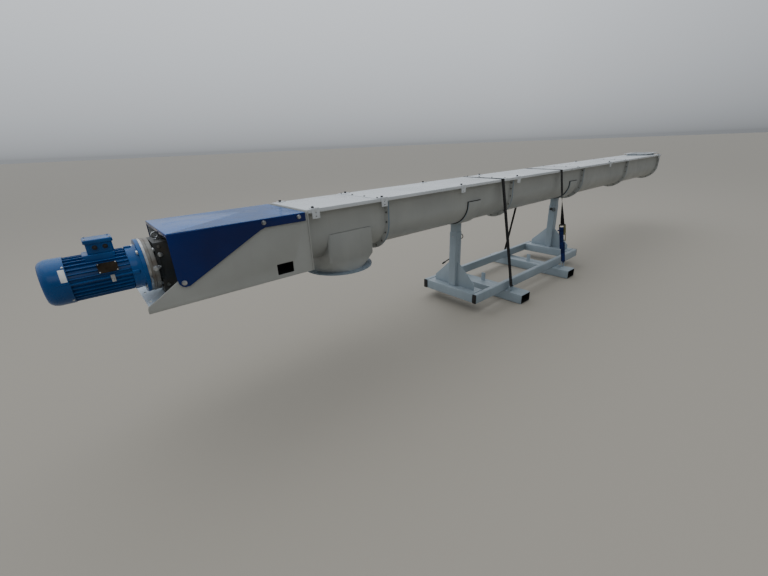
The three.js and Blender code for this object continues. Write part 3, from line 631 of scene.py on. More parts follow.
spoutRing = {"centre": 0.373, "bottom": 0.788, "top": 0.798, "inner": 0.214, "pitch": 0.246, "holes": 12,
             "holeRadius": 0.0075}
spout = fromNode("outlet_spout", "trough", 0.0012, smooth=28)
ringX, holeZ = fromEnd(spoutRing["centre"]), spoutRing["bottom"] + 0.005
drills = [drill((ringX + x, y, holeZ), spoutRing["holeRadius"], 0.04)
          for x, y in circle(spoutRing["pitch"], spoutRing["holes"], 0.5)]
cutAway(spout, joined(*drills))
paintFaces(spout, "flange", lambda c, n: c.z < spoutRing["top"] + 0.0005 and math.hypot(
    c.x - fromEnd(spoutRing["centre"]), c.y) > spoutRing["inner"] + 0.006)
print("inlet and outlet built")

# Screw: a smooth flight wound about its tube.
flight = {"start": 0.030, "end": 7.482, "inner": 0.0455, "outer": 0.185, "sheet": 0.006,
          "pitch": 0.380, "perTurn": 40}
fromNode("screw_shaft", "screw", 0.001)
inner, outer, sheet = flight["inner"], flight["outer"], flight["sheet"]
length = flight["end"] - flight["start"] - sheet
turns = length / flight["pitch"]
strip = addShape("plane", size=1)
startEditAll(strip)
bpy.ops.transform.resize(value=(sheet, outer - inner, 1), center_override=(0, 0, 0))
bpy.ops.transform.translate(value=(0, (outer + inner) / 2, 0))
bpy.ops.mesh.delete(type="ONLY_FACE")
endEdit()
steps = int(turns * flight["perTurn"])
applyModifier(strip, "SCREW", axis="X", angle=turn * turns, screw_offset=length, iterations=1,
              steps=steps, render_steps=steps)
startEditAll(strip)
bpy.ops.mesh.fill_holes(sides=4)
bpy.ops.mesh.select_all(action="SELECT")
bpy.ops.mesh.normals_make_consistent(inside=False)
bpy.ops.transform.translate(value=(fromEnd(flight["start"]) + sheet / 2, 0, axisZ))
endEdit()
finishPiece(strip, "screw_flight_wound", "screw")
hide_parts("screw_flight")
print("screw wound")

# Drive tray, its base plate and the blue cover.
for node in ("drive_side_near", "drive_side_far"):
    fromNode(node, "side")
basePlate = fromNode("drive_base_plate", "plateBlue")
slot = {"x": -0.942, "y": 0.088, "half": (0.007, 0.017), "cut": (0.89, 0.93)}
slotX, slotY = slot["half"]
for side in (-1, 1):
    tool = blockFromEnd((slot["x"] - slotX, slot["x"] + slotX),
                        (side * slot["y"] - slotY, side * slot["y"] + slotY), slot["cut"])
    roundEdges(tool, 0.0068, 4, runsAlong(2))
    cutAway(basePlate, tool)
shadedFrom = -0.66  # from here on, under the cover, the base plate's top is painted near black: painted shade
startEditAll(basePlate)
bpy.ops.mesh.bisect(plane_co=(fromEnd(shadedFrom), 0, 0), plane_no=(1, 0, 0))
endEdit()
paintFaces(basePlate, "millScaleAndShade", lambda c, n: c.x > fromEnd(shadedFrom) and n.z > 0.9)
tray = {"boltX": -0.0086, "boltY": 0.265, "boltZ": (0.93, 1.02, 1.11),
        "weldX": (-0.955, -0.012), "weldY": 0.2705, "weldZ": 0.9105}
cover = {"half": 0.287, "top": 1.296, "fold": 0.006,
         "bolts": ((-0.787, 1.027), (-0.302, 1.273), (-0.072, 1.273))}
fromNode("drive_cover", "cover", 0.0008, rounded=[(cover["fold"], 5, topEdges(cover["top"], cover["half"]))])
for side, word in ((-1, "near"), (1, "far")):
    spots = [((fromEnd(x), side * cover["half"], z), (0, side, 0), 1.25) for x, z in cover["bolts"]]
    finishPiece(copyTo(boltHead, spots), "cover_bolts_" + word, "zinc")
    spots = gridOf([tray["boltX"]], [side * tray["boltY"]], tray["boltZ"], (-1, 0, 0), 1)
    finishPiece(copyTo(boltHead, spots), "tray_bolts_" + word, "darkBolt")
weldBead("tray_welds", "side", runsOnX(*tray["weldX"], (-tray["weldY"], tray["weldY"]), tray["weldZ"]))
print("tray and cover built")

# Motor: cowl with a domed end and wire guard, finned body, end shield, rating plate and terminal box.
motor = {"cowlStart": -1.350, "cowlEnd": -1.245, "cowlRadius": 0.119, "domeLength": 0.046,
         "domeDepth": 0.031, "sheet": 0.0025, "bodyStart": -1.262, "bodyEnd": -0.985, "coreRadius": 0.101,
         "finRoot": 0.098, "finRadius": 0.1152, "fins": 30, "finHalf": 0.0024, "railRadius": 0.1185,
         "railHalf": 0.004, "flangeStart": -0.935, "flangeEnd": -0.917, "flangeRadius": 0.150,
         "boltCircle": 0.1335, "boltDegrees": (45, 135, 225, 315), "cowlScrewX": -1.253}
motorPad = {"x": (-1.166, -1.028), "half": 0.060, "z": (1.166, 1.2127)}
motorLug = {"x": (-0.985, -0.950), "half": 0.010, "rise": (0.100, 0.121), "count": 4}
cowlSeam = {"start": -1.300, "out": 0.0015, "in": 0.002, "rise": (0.006, 0.010)}
earth = {"x": (-1.080, -1.062), "y": (-0.1215, -0.1188), "z": (1.070, 1.105), "lip": (0.003, 0.012),
         "screw": (-1.071, 1.082)}
motorCentre = (driveEnd, 0, motorZ)


def onMotor(x, radius, degrees):
    # a place on the motor, with its angle from the near side upwards
    angle = math.radians(degrees)
    return Vector((fromEnd(x), -radius * math.cos(angle), motorZ + radius * math.sin(angle)))


def outward(degrees):
    angle = math.radians(degrees)
    return Vector((0, -math.cos(angle), math.sin(angle)))


def turnAboutMotor(piece, angle):
    startEditAll(piece)
    bpy.ops.transform.rotate(value=angle, orient_axis="X", center_override=motorCentre)
    endEdit()
    return piece


cowlStart, cowlEnd, cowlRadius, sheet = (motor[k] for k in ("cowlStart", "cowlEnd", "cowlRadius", "sheet"))
outside, inside = [], []
for k in range(9):
    angle = math.pi / 2 * k / 8
    way = cowlStart + motor["domeLength"] * (1 - math.cos(angle))
    radius = cowlRadius - motor["domeDepth"] * (1 - math.sin(angle))
    outside.append((way, radius))
    inside.append((way + sheet * math.cos(angle), radius - sheet * math.sin(angle)))
outside[0] = (cowlStart, outside[0][1] - 0.002)
shell = [*outside, (cowlEnd, cowlRadius), (cowlEnd, cowlRadius - sheet), *reversed(inside),
         (cowlStart + 0.001, outside[0][1] - 0.004), outside[0]]
cowl = turned(shell, motorCentre, steps=64)
finishPiece(cowl, "fan_cowl", "motor", 40)
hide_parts("motor_fan_cowl")
guardLook = {"rings": (0.018, 0.034, 0.050, 0.066, 0.082), "ringX": 0.0035, "spokes": 6, "spokeX": 0.005,
             "bends": (0.004, 0.030, 0.060, 0.086), "wire": 0.0018}
guard = []
for radius in guardLook["rings"]:
    ring = [(cowlStart + guardLook["ringX"] + x, radius + r) for x, r in circle(guardLook["wire"], 8)]
    guard.append(turned([*ring, ring[0]], motorCentre, steps=40))
for k in range(guardLook["spokes"]):
    spoke = [onMotor(cowlStart + guardLook["spokeX"], r, 360 * k / guardLook["spokes"])
             for r in guardLook["bends"]]
    guard.append(bentBar(spoke, guardLook["wire"]))
finishPiece(joined(*guard), "fan_guard", "motor", 60)
fanBlade = {"x": (-1.325, -1.284), "half": 0.0015, "rise": (0.024, 0.086), "count": 7}
fan = [turned([(-1.330, 0), (-1.330, 0.022), (-1.300, 0.026), (-1.285, 0.030), (-1.285, 0.086),
               (-1.282, 0.086), (-1.282, 0)], motorCentre, steps=32)]
for k in range(fanBlade["count"]):
    blade = blockFromEnd(fanBlade["x"], (-fanBlade["half"], fanBlade["half"]),
                         [motorZ + rise for rise in fanBlade["rise"]])
    fan.append(turnAboutMotor(blade, turn * k / fanBlade["count"]))
finishPiece(easeEdges(joined(*fan), 0.0005), "cooling_fan", "plastic")
seamY = (-cowlRadius - cowlSeam["out"], -cowlRadius + cowlSeam["in"])
seam = blockFromEnd((cowlSeam["start"], cowlEnd), seamY, [motorZ + rise for rise in cowlSeam["rise"]])
finishPiece(easeEdges(seam, 0.0008), "cowl_seam", "motor")
cowlScrews = [(onMotor(motor["cowlScrewX"], cowlRadius - 0.0005, degrees), outward(degrees), 0.5)
              for degrees in motor["boltDegrees"]]
finishPiece(copyTo(boltHead, cowlScrews), "cowl_screws", "zinc")

bodyStart, bodyEnd, coreRadius = (motor[k] for k in ("bodyStart", "bodyEnd", "coreRadius"))
flangeStart, flangeEnd, rimRadius = (motor[k] for k in ("flangeStart", "flangeEnd", "flangeRadius"))
core = turned([(bodyStart, 0), (bodyStart, coreRadius), (bodyEnd + 0.001, coreRadius),
               (bodyEnd + 0.001, 0.111), (-0.978, 0.1132), (-0.956, 0.1132), (-0.948, 0.116),
               (flangeStart, 0.122), (flangeStart, rimRadius - 0.001), (flangeStart + 0.001, rimRadius),
               (flangeEnd - 0.001, rimRadius), (flangeEnd, rimRadius - 0.001), (flangeEnd, 0)],
              motorCentre, steps=64)
finRoot, finRadius = motor["finRoot"], motor["finRadius"]
fin = blockFromEnd((bodyStart, bodyEnd), (-motor["finHalf"], motor["finHalf"]),
                   (motorZ + finRoot, motorZ + finRadius))
roundEdges(fin, 0.009, 4, lambda a, b: abs(a.y - b.y) > 0.004 and min(a.z, b.z) > motorZ + 0.11)
roundEdges(fin, 0.0018, 2, lambda a, b: abs(a.y - b.y) < 0.0001 and min(a.z, b.z) > motorZ + 0.1)
fins = [turnAboutMotor(copyOf(fin), turn * (k + 0.5) / motor["fins"]) for k in range(motor["fins"])]
bpy.data.objects.remove(fin)
railZ = (motorZ - motor["railHalf"], motorZ + motor["railHalf"])
rails = [blockFromEnd((bodyStart, bodyEnd), reach, railZ)
         for reach in ((-motor["railRadius"], -finRoot), (finRoot, motor["railRadius"]))]
pad = blockFromEnd(motorPad["x"], (-motorPad["half"], motorPad["half"]), motorPad["z"])
roundEdges(pad, 0.016, 5, runsAlong(2))
lug = blockFromEnd(motorLug["x"], (-motorLug["half"], motorLug["half"]),
                   [motorZ + rise for rise in motorLug["rise"]])
lugs = [easeEdges(lug, 0.004, 3)]
lugs += [turnAboutMotor(copyOf(lug), turn * k / motorLug["count"]) for k in range(1, motorLug["count"])]
easeEdges(pad, 0.003, 3)
body = joined(core, *fins, *[easeEdges(rail, 0.0015) for rail in rails], pad, *lugs)
finishPiece(body, "finned_body", "motor", 40)
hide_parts("motor_body")
flangeBolts = [(onMotor(flangeStart, motor["boltCircle"], degrees), (-1, 0, 0), 1.15)
               for degrees in motor["boltDegrees"]]
finishPiece(copyTo(boltHead, flangeBolts), "motor_flange_bolts", "zinc")

terminal = {"x": (-1.147, -1.021), "half": 0.058, "z": (1.213, 1.287), "lid": 0.020, "inset": 0.006,
            "glandX": (-1.104, -1.060), "glandZ": 1.246, "screwInset": 0.012}
x0, x1 = terminal["x"]
half = terminal["half"]
bottom, top = terminal["z"]
inset, lidBottom = terminal["inset"], top - terminal["lid"]
box = blockFromEnd((x0 + inset, x1 - inset), (inset - half, half - inset), (bottom, lidBottom + 0.001))
roundEdges(box, 0.012, 5, runsAlong(2))
easeEdges(box, 0.002)
boxLid = blockFromEnd((x0, x1), (-half, half), (lidBottom, top))
roundEdges(boxLid, 0.010, 5, runsAlong(2))
roundEdges(boxLid, 0.006, 4, lambda a, b: min(a.z, b.z) > top - 0.0001)
roundEdges(boxLid, 0.0015, 2, lambda a, b: max(a.z, b.z) < lidBottom + 0.0001)
bosses = [turned([(0.004, 0), (0.004, 0.017), (-0.001, 0.019), (-0.004, 0.019)],
                 (fromEnd(x), inset - half, terminal["glandZ"]), (0, -1, 0), 24) for x in terminal["glandX"]]
terminalBox = joined(box, boxLid, *bosses)
finishPiece(terminalBox, "terminal_box", "motor", 40)
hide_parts("motor_terminal_box")
reach = half - terminal["screwInset"]
screwX = (x0 + terminal["screwInset"], x1 - terminal["screwInset"])
lidScrews = gridOf(screwX, (-reach, reach), [top - 0.0005], (0, 0, 1), 0.5)
finishPiece(copyTo(boltHead, lidScrews), "terminal_box_screws", "zinc")
plugs = copyTo(nut, gridOf(terminal["glandX"], [0.0025 - half], [terminal["glandZ"]], (0, -1, 0), 1.1))
finishPiece(plugs, "blanking_plugs", "plastic")

ratingPlate = {"x": (-1.122, -1.037), "degrees": 26, "height": 0.052, "off": (0.0002, 0.0022),
               "rivetInset": 0.005, "rivetRise": 0.021}
under, over = ratingPlate["off"]
plate = blockFromEnd(ratingPlate["x"], (-finRadius - over, -finRadius - under),
                     (motorZ - ratingPlate["height"] / 2, motorZ + ratingPlate["height"] / 2))
roundEdges(plate, 0.004, 3, runsAlong(1))
startEdit(plate, "FACE", lambda c, n: n.y < -0.9)
bpy.ops.mesh.inset(thickness=0.002, depth=0)
bpy.ops.mesh.inset(thickness=0.0006, depth=-0.0005)
bpy.ops.mesh.select_all(action="SELECT")
bpy.ops.transform.rotate(value=math.radians(ratingPlate["degrees"]), orient_axis="X",
                         center_override=motorCentre)
endEdit()
finishPiece(plate, "rating_plate", "plate")
rivets = []
x0, x1 = (fromEnd(x) for x in ratingPlate["x"])
for x in (x0 + ratingPlate["rivetInset"], x1 - ratingPlate["rivetInset"]):
    for rise in (-ratingPlate["rivetRise"], ratingPlate["rivetRise"]):
        direction = outward(ratingPlate["degrees"])
        place = direction * (finRadius + 0.0018) + outward(ratingPlate["degrees"] + 90) * rise
        rivets.append(((x, place.y, motorZ + place.z), direction, 0.28))
finishPiece(copyTo(boltHead, rivets), "rating_plate_rivets", "zinc")
label = {"x": (-1.274, -1.249), "fromDegrees": 9, "degrees": 31, "thick": 0.0004}
x0, x1 = label["x"]
skin = cowlRadius + label["thick"]
sticker = turned([(x0, cowlRadius), (x1, cowlRadius), (x1, skin), (x0, skin), (x0, cowlRadius)], motorCentre,
                 steps=12, sweep=math.radians(label["degrees"]), start=outward(label["fromDegrees"]))
startEditAll(sticker)
bpy.ops.mesh.fill_holes(sides=4)
bpy.ops.mesh.normals_make_consistent(inside=False)
endEdit()
finishPiece(sticker, "cowl_label", "label")
bracket = blockFromEnd(earth["x"], earth["y"], earth["z"])
startEdit(bracket, "FACE", lambda c, n: n.z > 0.9)
bpy.ops.mesh.extrude_region_move(TRANSFORM_OT_translate={"value": (0, 0, earth["lip"][0])})
bpy.ops.mesh.extrude_region_move(TRANSFORM_OT_translate={"value": (earth["lip"][1], 0, 0)})
endEdit()
finishPiece(easeEdges(bracket, 0.0006), "earth_bracket", "zinc")
screwX, screwZ = earth["screw"]
earthScrew = gridOf([screwX], [earth["y"][0]], [screwZ], (0, -1, 0), 0.6)
finishPiece(copyTo(boltHead, earthScrew), "earth_screw", "zinc")
print("motor built")

# Gearbox behind the turned input flange, coupling and bearings.
inputFlange = turned([(-0.9167, 0), (-0.9167, 0.149), (-0.9157, 0.150), (-0.908, 0.150), (-0.9075, 0.1485),
                      (-0.9045, 0.1485), (-0.904, 0.150), (-0.891, 0.150), (-0.890, 0.149), (-0.890, 0)],
                     motorCentre, steps=72)
finishPiece(inputFlange, "turned_input_flange", "steel", 30)
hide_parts("gearbox_input_flange")
gearbox = {"near": -0.102, "sideX": (-0.835, -0.76, -0.685), "sideZ": (0.985, 1.205),
           "plug": (-0.838, 1.160), "footX": (-0.80, -0.69), "footY": 0.128, "footZ": 0.9363,
           "eye": (-0.826, 1.252), "eyeRing": 0.016, "eyeWire": 0.0042,
           "nutX": -0.8677, "nutDegrees": (2, 45, 135, 178, 225, 315), "rimPlug": (-0.8785, 0.1475, 2)}
housing = fromNode("gearbox_housing", "gearbox", 0.003, 3)
castFlange = {"ringFrom": -0.9045, "collarTo": -0.862, "collarRadius": 0.125}
paintFaces(inputFlange, "casting", lambda c, n: c.x > fromEnd(castFlange["ringFrom"]))
paintFaces(housing, "casting", lambda c, n: c.x < fromEnd(castFlange["collarTo"]) and math.hypot(
    c.y, c.z - motorZ) > castFlange["collarRadius"])
adapterNuts = [(onMotor(gearbox["nutX"], motor["boltCircle"], degrees), (1, 0, 0), 1.15)
               for degrees in gearbox["nutDegrees"]]
finishPiece(copyTo(nut, adapterNuts), "gearbox_flange_nuts", "zinc")
rimPlug = [(onMotor(*gearbox["rimPlug"]), outward(gearbox["rimPlug"][2]), 1.4)]
finishPiece(copyTo(boltHead, rimPlug), "gearbox_flange_plug", "zinc")
gearBolts = gridOf(gearbox["sideX"], [gearbox["near"]], gearbox["sideZ"], (0, -1, 0), 0.9)
finishPiece(copyTo(boltHead, gearBolts), "gearbox_side_bolts", "darkBolt")
plugX, plugZ = gearbox["plug"]
oilPlug = gridOf([plugX], [gearbox["near"]], [plugZ], (0, -1, 0), 1.25)
finishPiece(copyTo(boltHead, oilPlug), "gearbox_oil_plug", "zinc")
footY = gearbox["footY"]
footBolts = gridOf(gearbox["footX"], (-footY, footY), [gearbox["footZ"]], (0, 0, 1), 1.25)
finishPiece(copyTo(boltHead, footBolts), "gearbox_foot_bolts", "zinc")
eyeCentre = Vector((fromEnd(gearbox["eye"][0]), 0, gearbox["eye"][1]))
eyeRing = bentBar([eyeCentre + Vector((x, 0, z)) for x, z in circle(gearbox["eyeRing"], 12)],
                  gearbox["eyeWire"], closed=True)
eyeFoot = turned([(0, 0), (0, 0.011), (0.004, 0.011), (0.008, 0.006), (0.013, 0.006)],
                 (eyeCentre.x, 0, 1.2275), (0, 0, 1), 20)
finishPiece(joined(eyeRing, eyeFoot), "gearbox_eye_bolt", "zinc", 50)
fromNode("drive_coupling", "steel", 0.002)
for node, faceX, way in (("drive_bearing", -0.0286, -1), ("tail_bearing", 7.5406, 1)):
    fromNode(node, "gearbox", 0.003, 3)
    spots = gridOf([faceX], (-0.088, 0.088), (axisZ - 0.088, axisZ + 0.088), (way, 0, 0), 1.2)
    finishPiece(copyTo(boltHead, spots), node + "_bolts", "zinc")
print("gearbox and bearings built")

# Stand: square tube frame with fork pockets, telescopic posts, saddles and pins.
stand = {"length": 2.325, "middle": 2.9195, "beamZ": (0.1043, 0.2043),
         "postInset": 0.090, "postHalf": 0.045, "innerHalf": 0.039, "pocketSpacing": 1.100,
         "pocketHalf": 0.090, "pocketBore": (0.084, 0.046), "pocketTop": 0.104,
         "saddleBand": (0.2155, 0.2265)}
welds = {"pocketReach": 0.085, "pocketY": (-0.3135, -0.3665, 0.3135, 0.3665), "crossReach": 0.082,
         "crossY": (-0.3148, 0.3148), "saddleReach": 0.034, "saddleY": (-0.0415, 0.0415), "saddleZ": 0.8905,
         "gussetHalf": 0.0055, "gussetY": (0.055, 0.258), "gussetZ": (0.215, 0.470)}


def squareTube(node, low, high, axis, corner, edge=0.0012):
    # a tube along the axis, with its long outer corners rolled to a radius
    others = [k for k in range(3) if k != axis]
    return fromNode(node, "stand", edge, rounded=[(corner, 4, lambda a, b: all(
        min(abs(v[k] - low[k]), abs(v[k] - high[k])) < 0.0004 for v in (a, b) for k in others))])


def postTube(node, x, half, corner):
    return squareTube(node, (fromEnd(x - half), -half, 0), (fromEnd(x + half), half, 0), 2, corner, 0.001)


for word in ("near", "far"):
    low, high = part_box("long_beam_" + word)
    squareTube("long_beam_" + word, low, high, 0, 0.008)
    for end, x in ((1, low[0]), (2, high[0])):
        x0, x1 = sorted((x, x + (-0.003 if end == 1 else 0.003)))
        cap = addBlock((x0, low[1] + 0.0005, low[2] + 0.0005), (x1, high[1] - 0.0005, high[2] - 0.0005))
        roundEdges(cap, 0.008, 4, runsAlong(0))
        finishPiece(easeEdges(cap, 0.001), "beam_cap_%s_%d" % (word, end), "plastic")
posts = {}
for k, way in ((1, 1), (2, -1)):
    pocketX = stand["middle"] - way * stand["pocketSpacing"] / 2
    postX = stand["middle"] - way * (stand["length"] / 2 - stand["postInset"])
    posts[k] = (postX, way)
    half = stand["pocketHalf"]
    pocket = squareTube("fork_pocket_%d" % k, (fromEnd(pocketX - half), 0, 0),
                        (fromEnd(pocketX + half), 0, stand["pocketTop"]), 1, 0.010)
    # the inside of each pocket is painted near black: dark mill scale and painted shade
    paintFaces(pocket, "millScaleAndShade", lambda c, n: max(
        abs(c.x - fromEnd(pocketX)) / stand["pocketBore"][0],
        abs(c.z - stand["pocketTop"] / 2) / stand["pocketBore"][1]) < 1.01)
    low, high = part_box("cross_beam_%d" % k)
    squareTube("cross_beam_%d" % k, low, high, 1, 0.008)
    postTube("outer_post_%d" % k, postX, stand["postHalf"], 0.009)
    saddle = postTube("saddle_post_%d" % k, postX, stand["innerHalf"], 0.008)
    inner, outer = stand["saddleBand"]
    paintFaces(saddle, "trough", lambda c, n: inner < (
        math.hypot(c.y, c.z - axisZ) if c.z < axisZ else abs(c.y)) < outer)
    fromNode("saddle_rubber_%d" % k, "rubber", 0.0015)
    fromNode("locking_pin_%d" % k, "zinc", 0.001)
    weldBead("pocket_welds_%d" % k, "stand", runsOnX(
        pocketX - welds["pocketReach"], pocketX + welds["pocketReach"], welds["pocketY"],
        stand["pocketTop"] + 0.001))
    top = stand["beamZ"][1] + 0.001
    edge = stand["postHalf"] + 0.001
    x0, x1 = fromEnd(postX - edge), fromEnd(postX + edge)
    foot = [((x0, -0.036, top), (x0, 0.036, top)), ((x1, -0.036, top), (x1, 0.036, top))]
    for side in (-1, 1):
        for offset in (-welds["gussetHalf"], welds["gussetHalf"]):
            x = fromEnd(postX + offset)
            foot.append(tuple((x, side * y, top) for y in welds["gussetY"]))
            foot.append(tuple((x, side * (edge + 0.0005), z) for z in welds["gussetZ"]))
    weldBead("post_welds_%d" % k, "stand", foot, 0.003, 0.005)
    weldBead("cross_beam_welds_%d" % k, "stand", runsOnX(
        postX - welds["crossReach"], postX + welds["crossReach"], welds["crossY"], top))
    weldBead("saddle_welds_%d" % k, "stand", runsOnX(
        postX - welds["saddleReach"], postX + welds["saddleReach"], welds["saddleY"], welds["saddleZ"]))
print("stand built")

# Pull rings, knob and clamp levers on the posts.
pull = {"ring": 0.023, "wire": 0.0050, "off": 0.010, "y": -0.030, "z": 0.742, "knobOff": 0.0185,
        "knobZ": 0.750}
for k, (postX, way) in posts.items():
    ringX = fromEnd(postX + way * (stand["postHalf"] + pull["off"]))
    hoop = bentBar([(ringX, pull["y"] + y, pull["z"] + z) for y, z in circle(pull["ring"], 16)],
                   pull["wire"], closed=True)
    finishPiece(hoop, "pin_pull_ring_%d" % k, "darkBolt", 60)
clampLever = {"boss": 0.013, "bar": 0.006, "grip": 0.0095, 1: ((1.840, 0.045, 0.490), (1.721, 0.062, 0.463)),
              2: ((4.016, -0.045, 0.370), (4.150, -0.062, 0.348))}
for k in posts:
    (footX, footY, footZ), (tipX, tipY, tipZ) = clampLever[k]
    side = 1 if footY > 0 else -1
    foot, tip = Vector((fromEnd(footX), footY, footZ)), Vector((fromEnd(tipX), tipY, tipZ))
    boss = turned([(0.0, 0), (0.0, clampLever["boss"]), (0.016, clampLever["boss"]), (0.021, 0.010),
                   (0.021, 0)], foot, (0, side, 0), 24)
    head = foot + Vector((0, side * 0.016, 0))
    lever = bentBar([head, head.lerp(tip, 0.35) + Vector((0, side * 0.004, 0)), head.lerp(tip, 0.7), tip],
                    clampLever["bar"])
    grip = turned([(-0.045, 0), (-0.045, 0.006), (-0.036, clampLever["grip"]), (-0.004, clampLever["grip"]),
                   (0.003, 0.006), (0.003, 0)], tip, (tip - head).normalized(), 20)
    finishPiece(joined(boss, lever, grip), "clamp_lever_%d" % k, "plastic", 50)
postX, way = posts[2]
knob = turned([(0.0, 0), (0.0, 0.012), (0.008, 0.016), (0.020, 0.016), (0.026, 0.012), (0.026, 0)],
              (fromEnd(postX - stand["postHalf"] - pull["knobOff"]), 0, pull["knobZ"]), (-1, 0, 0), 24)
finishPiece(knob, "pin_knob_2", "plastic", 40)
print("post fittings built")

# Lashing: two webs over the lids, a ratchet on the near side of the second.
strapFootZ = 0.177  # where the legs leave their eyes
strapTop = {"z": 1.3051, "y": 0.2608}
strapRoutes = {1: {"near": (2.316, -0.420), "far": (2.335, 0.400), "lidNear": 2.242, "lidFar": 2.300},
               2: {"near": (3.505, -0.440), "far": (3.500, 0.400), "lidNear": 3.510, "lidFar": 3.600}}
fromNode("strap_1", "web", 0.0004, 1)
fromNode("ratchet_web", "blueWeb", 0.0004, 1)


def alongStrap(strap, side):
    # frame of the web's leg on one side: origin at its lower end, Z up the web and Y to the far side
    route = strapRoutes[strap]
    x, y = route["near" if side < 0 else "far"]
    lower = Vector((fromEnd(x), y, strapFootZ))
    lidX = route["lidNear" if side < 0 else "lidFar"]
    upper = Vector((fromEnd(lidX), side * strapTop["y"], strapTop["z"]))
    up = (upper - lower).normalized()
    across = (Vector((1, 0, 0)) - up * up.x).normalized()
    inward = up.cross(across)
    return Matrix(((across.x, inward.x, up.x, lower.x), (across.y, inward.y, up.y, lower.y),
                   (across.z, inward.z, up.z, lower.z), (0, 0, 0, 1)))


sewnEnd = {"half": 0.024, "y": (0.0017, 0.0042), "z": (0.004, 0.110)}
(lowY, highY), (lowZ, highZ) = sewnEnd["y"], sewnEnd["z"]
for strap, side, word in ((1, -1, "near"), (1, 1, "far"), (2, 1, "far")):
    patch = addBlock((-sewnEnd["half"], lowY, lowZ), (sewnEnd["half"], highY, highZ))
    roundEdges(patch, 0.004, 2, runsAlong(1))
    patch.matrix_world = alongStrap(strap, side)
    settle(patch)
    finishPiece(easeEdges(patch, 0.0005), "sewn_end_%d_%s" % (strap, word), "web")

# The near leg of the second web turns a quarter way round before it enters the ratchet.
twist = {"halfWidth": 0.025, "halfThick": 0.0015, "ratchetTop": 0.479, "lidCorner": 1.1405, "cuts": 48,
         "share": 0.6, "cutZ": 1.296}
over = fromNode("strap_2", "web", 0.0004, 1)
startEdit(over, "FACE", lambda c, n: c.y < -0.05 and c.z < 1.30)
bpy.ops.mesh.bisect(plane_co=(0, 0, twist["cutZ"]), plane_no=(0, 0, 1), clear_inner=True, use_fill=True)
endEdit()
length = twist["lidCorner"] - twist["ratchetTop"]
leg = addBlock((-twist["halfThick"], -twist["halfWidth"], 0),
               (twist["halfThick"], twist["halfWidth"], length))
startEdit(leg, "EDGE", runsAlong(2))
bpy.ops.mesh.subdivide(number_cuts=twist["cuts"])
endEdit()
applyModifier(leg, "SIMPLE_DEFORM", deform_method="TWIST", deform_axis="Z", angle=-math.pi / 2,
              limits=(0, twist["share"]))
leg.matrix_world = alongStrap(2, -1) @ Matrix.Translation((0, 0, twist["ratchetTop"]))
finishPiece(leg, "strap_2_twisted_leg", "web", 50)

ratchet = {"middle": 0.365, "plateX": 0.0330, "armX": 0.0365, "sheet": 0.002, "wheelX": 0.0300,
           "webHalf": 0.0260, "gripHalf": 0.0385, "lap": (-0.0310, 0.0200), "front": (0.0195, 0.0375),
           "wheelRadius": 0.0145, "wheelThick": 0.003, "sectors": 28, "toothRise": 0.0018, "gripZ": 0.106}


def sidePlate(x, y0, y1, z0, z1, radius):
    plate = addBlock((x - ratchet["sheet"] / 2, y0, z0), (x + ratchet["sheet"] / 2, y1, z1))
    return roundEdges(plate, radius, 5, runsAlong(0))


def crossBar(y, z, radius, half):
    return turned([(-half, 0), (-half, radius - 0.0008), (0.0008 - half, radius), (half - 0.0008, radius),
                   (half, radius - 0.0008), (half, 0)], (0, y, z), (1, 0, 0), 20)


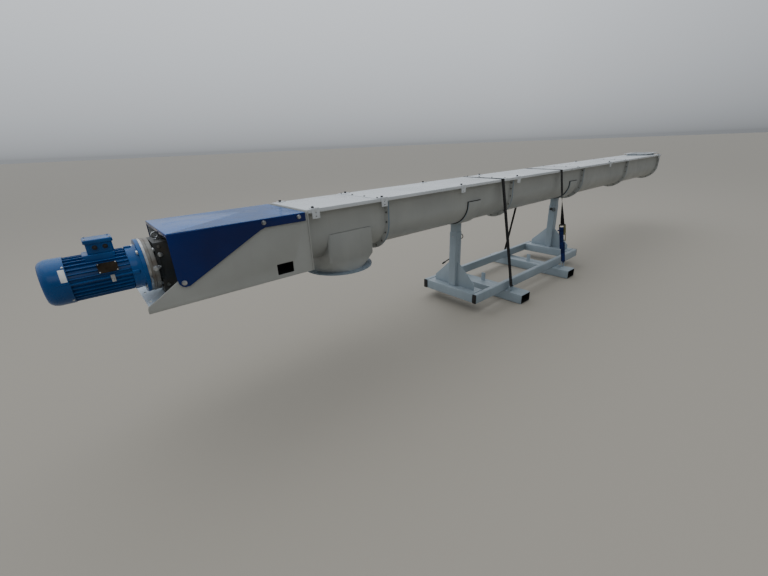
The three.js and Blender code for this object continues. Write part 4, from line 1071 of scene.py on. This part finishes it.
frameParts = [sidePlate(side * ratchet["plateX"], -0.012, 0.010, -0.100, 0.045, 0.008) for side in (-1, 1)]
frameParts += [crossBar(0.0, -0.088, 0.0055, ratchet["armX"]),
               crossBar(-0.004, 0.030, 0.004, ratchet["armX"])]
handleParts = [sidePlate(side * ratchet["armX"], -0.017, 0.012, -0.018, 0.105, 0.008) for side in (-1, 1)]
pawl = addBlock((-0.027, -0.0145, 0.040), (0.027, -0.0115, 0.075))
roundEdges(pawl, 0.004, 3, runsAlong(1))
frontPlate = addBlock((ratchet["front"][0], -0.0170, -0.018), (ratchet["front"][1], -0.0150, 0.100))
roundEdges(frontPlate, 0.004, 3, runsAlong(1))
handleParts += [pawl, frontPlate, crossBar(-0.004, 0.060, 0.004, ratchet["gripHalf"])]
wheels = []
for side in (-1, 1):
    wheel = addShape("cylinder", vertices=ratchet["sectors"], radius=ratchet["wheelRadius"],
                     depth=ratchet["wheelThick"], location=(side * ratchet["wheelX"], 0, 0),
                     rotation=(0, math.pi / 2, 0))
    # every other sector of the rim becomes a tooth
    startEdit(wheel, "FACE", lambda c, n: abs(n.x) < 0.5 and round(
        math.atan2(c.y, c.z) / (turn / ratchet["sectors"]) - 0.5) % 2 == 0)
    bpy.ops.mesh.inset(thickness=0.0002, use_individual=True)
    bpy.ops.mesh.extrude_region_shrink_fatten(TRANSFORM_OT_shrink_fatten={"value": ratchet["toothRise"]})
    endEdit()
    wheels.append(wheel)
wheels.append(crossBar(0, 0, 0.0075, ratchet["gripHalf"]))
half = ratchet["webHalf"]
spool = turned([(-half, 0.0070), (-half, 0.0128), (half, 0.0128), (half, 0.0070)], (0, 0, 0), (1, 0, 0), 28)
half = ratchet["gripHalf"]
gripBar = turned([(-half, 0), (-half, 0.008), (0.003 - half, 0.0095), (-0.012, 0.0105), (0.012, 0.0105),
                  (half - 0.003, 0.0095), (half, 0.008), (half, 0)], (0, -0.003, ratchet["gripZ"]),
                 (1, 0, 0), 24)
blueLap = addBlock((ratchet["lap"][0], -0.0215, -0.200), (ratchet["lap"][1], -0.0165, 0.080))
roundEdges(blueLap, 0.0022, 3, runsAlong(0))
# the loose end of the blue web stands out from the lap and droops
tail = addBlock((-0.0340, -0.0300, 0.0450), (-0.0060, -0.0200, 0.0480))
startEdit(tail, "FACE", lambda c, n: n.y < -0.9)
for move in ((0, -0.012, 0.002), (0, -0.012, 0.0), (0, -0.011, -0.003), (0, -0.008, -0.006)):
    bpy.ops.mesh.extrude_region_move(TRANSFORM_OT_translate={"value": move})
endEdit()
standing = (alongStrap(2, -1) @ Matrix.Translation((0, 0, ratchet["middle"]))
            @ Matrix.Rotation(-math.pi / 2, 4, "Z"))
for parts, name, finish in ((frameParts, "ratchet_frame", "olive"), (handleParts, "ratchet_handle", "olive"),
                            (wheels, "ratchet_wheels", "zinc"), ([spool], "ratchet_spool_web", "web"),
                            ([gripBar], "ratchet_grip", "plastic"),
                            ([blueLap, tail], "ratchet_lap", "blueWeb")):
    piece = joined(*parts)
    piece.matrix_world = standing
    settle(piece)
    finishPiece(easeEdges(piece, 0.0004), name, finish, 40)
    if name == "ratchet_frame":
        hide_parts("ratchet")
print("lashing built")

for template in (boltHead, nut):
    bpy.data.objects.remove(template)
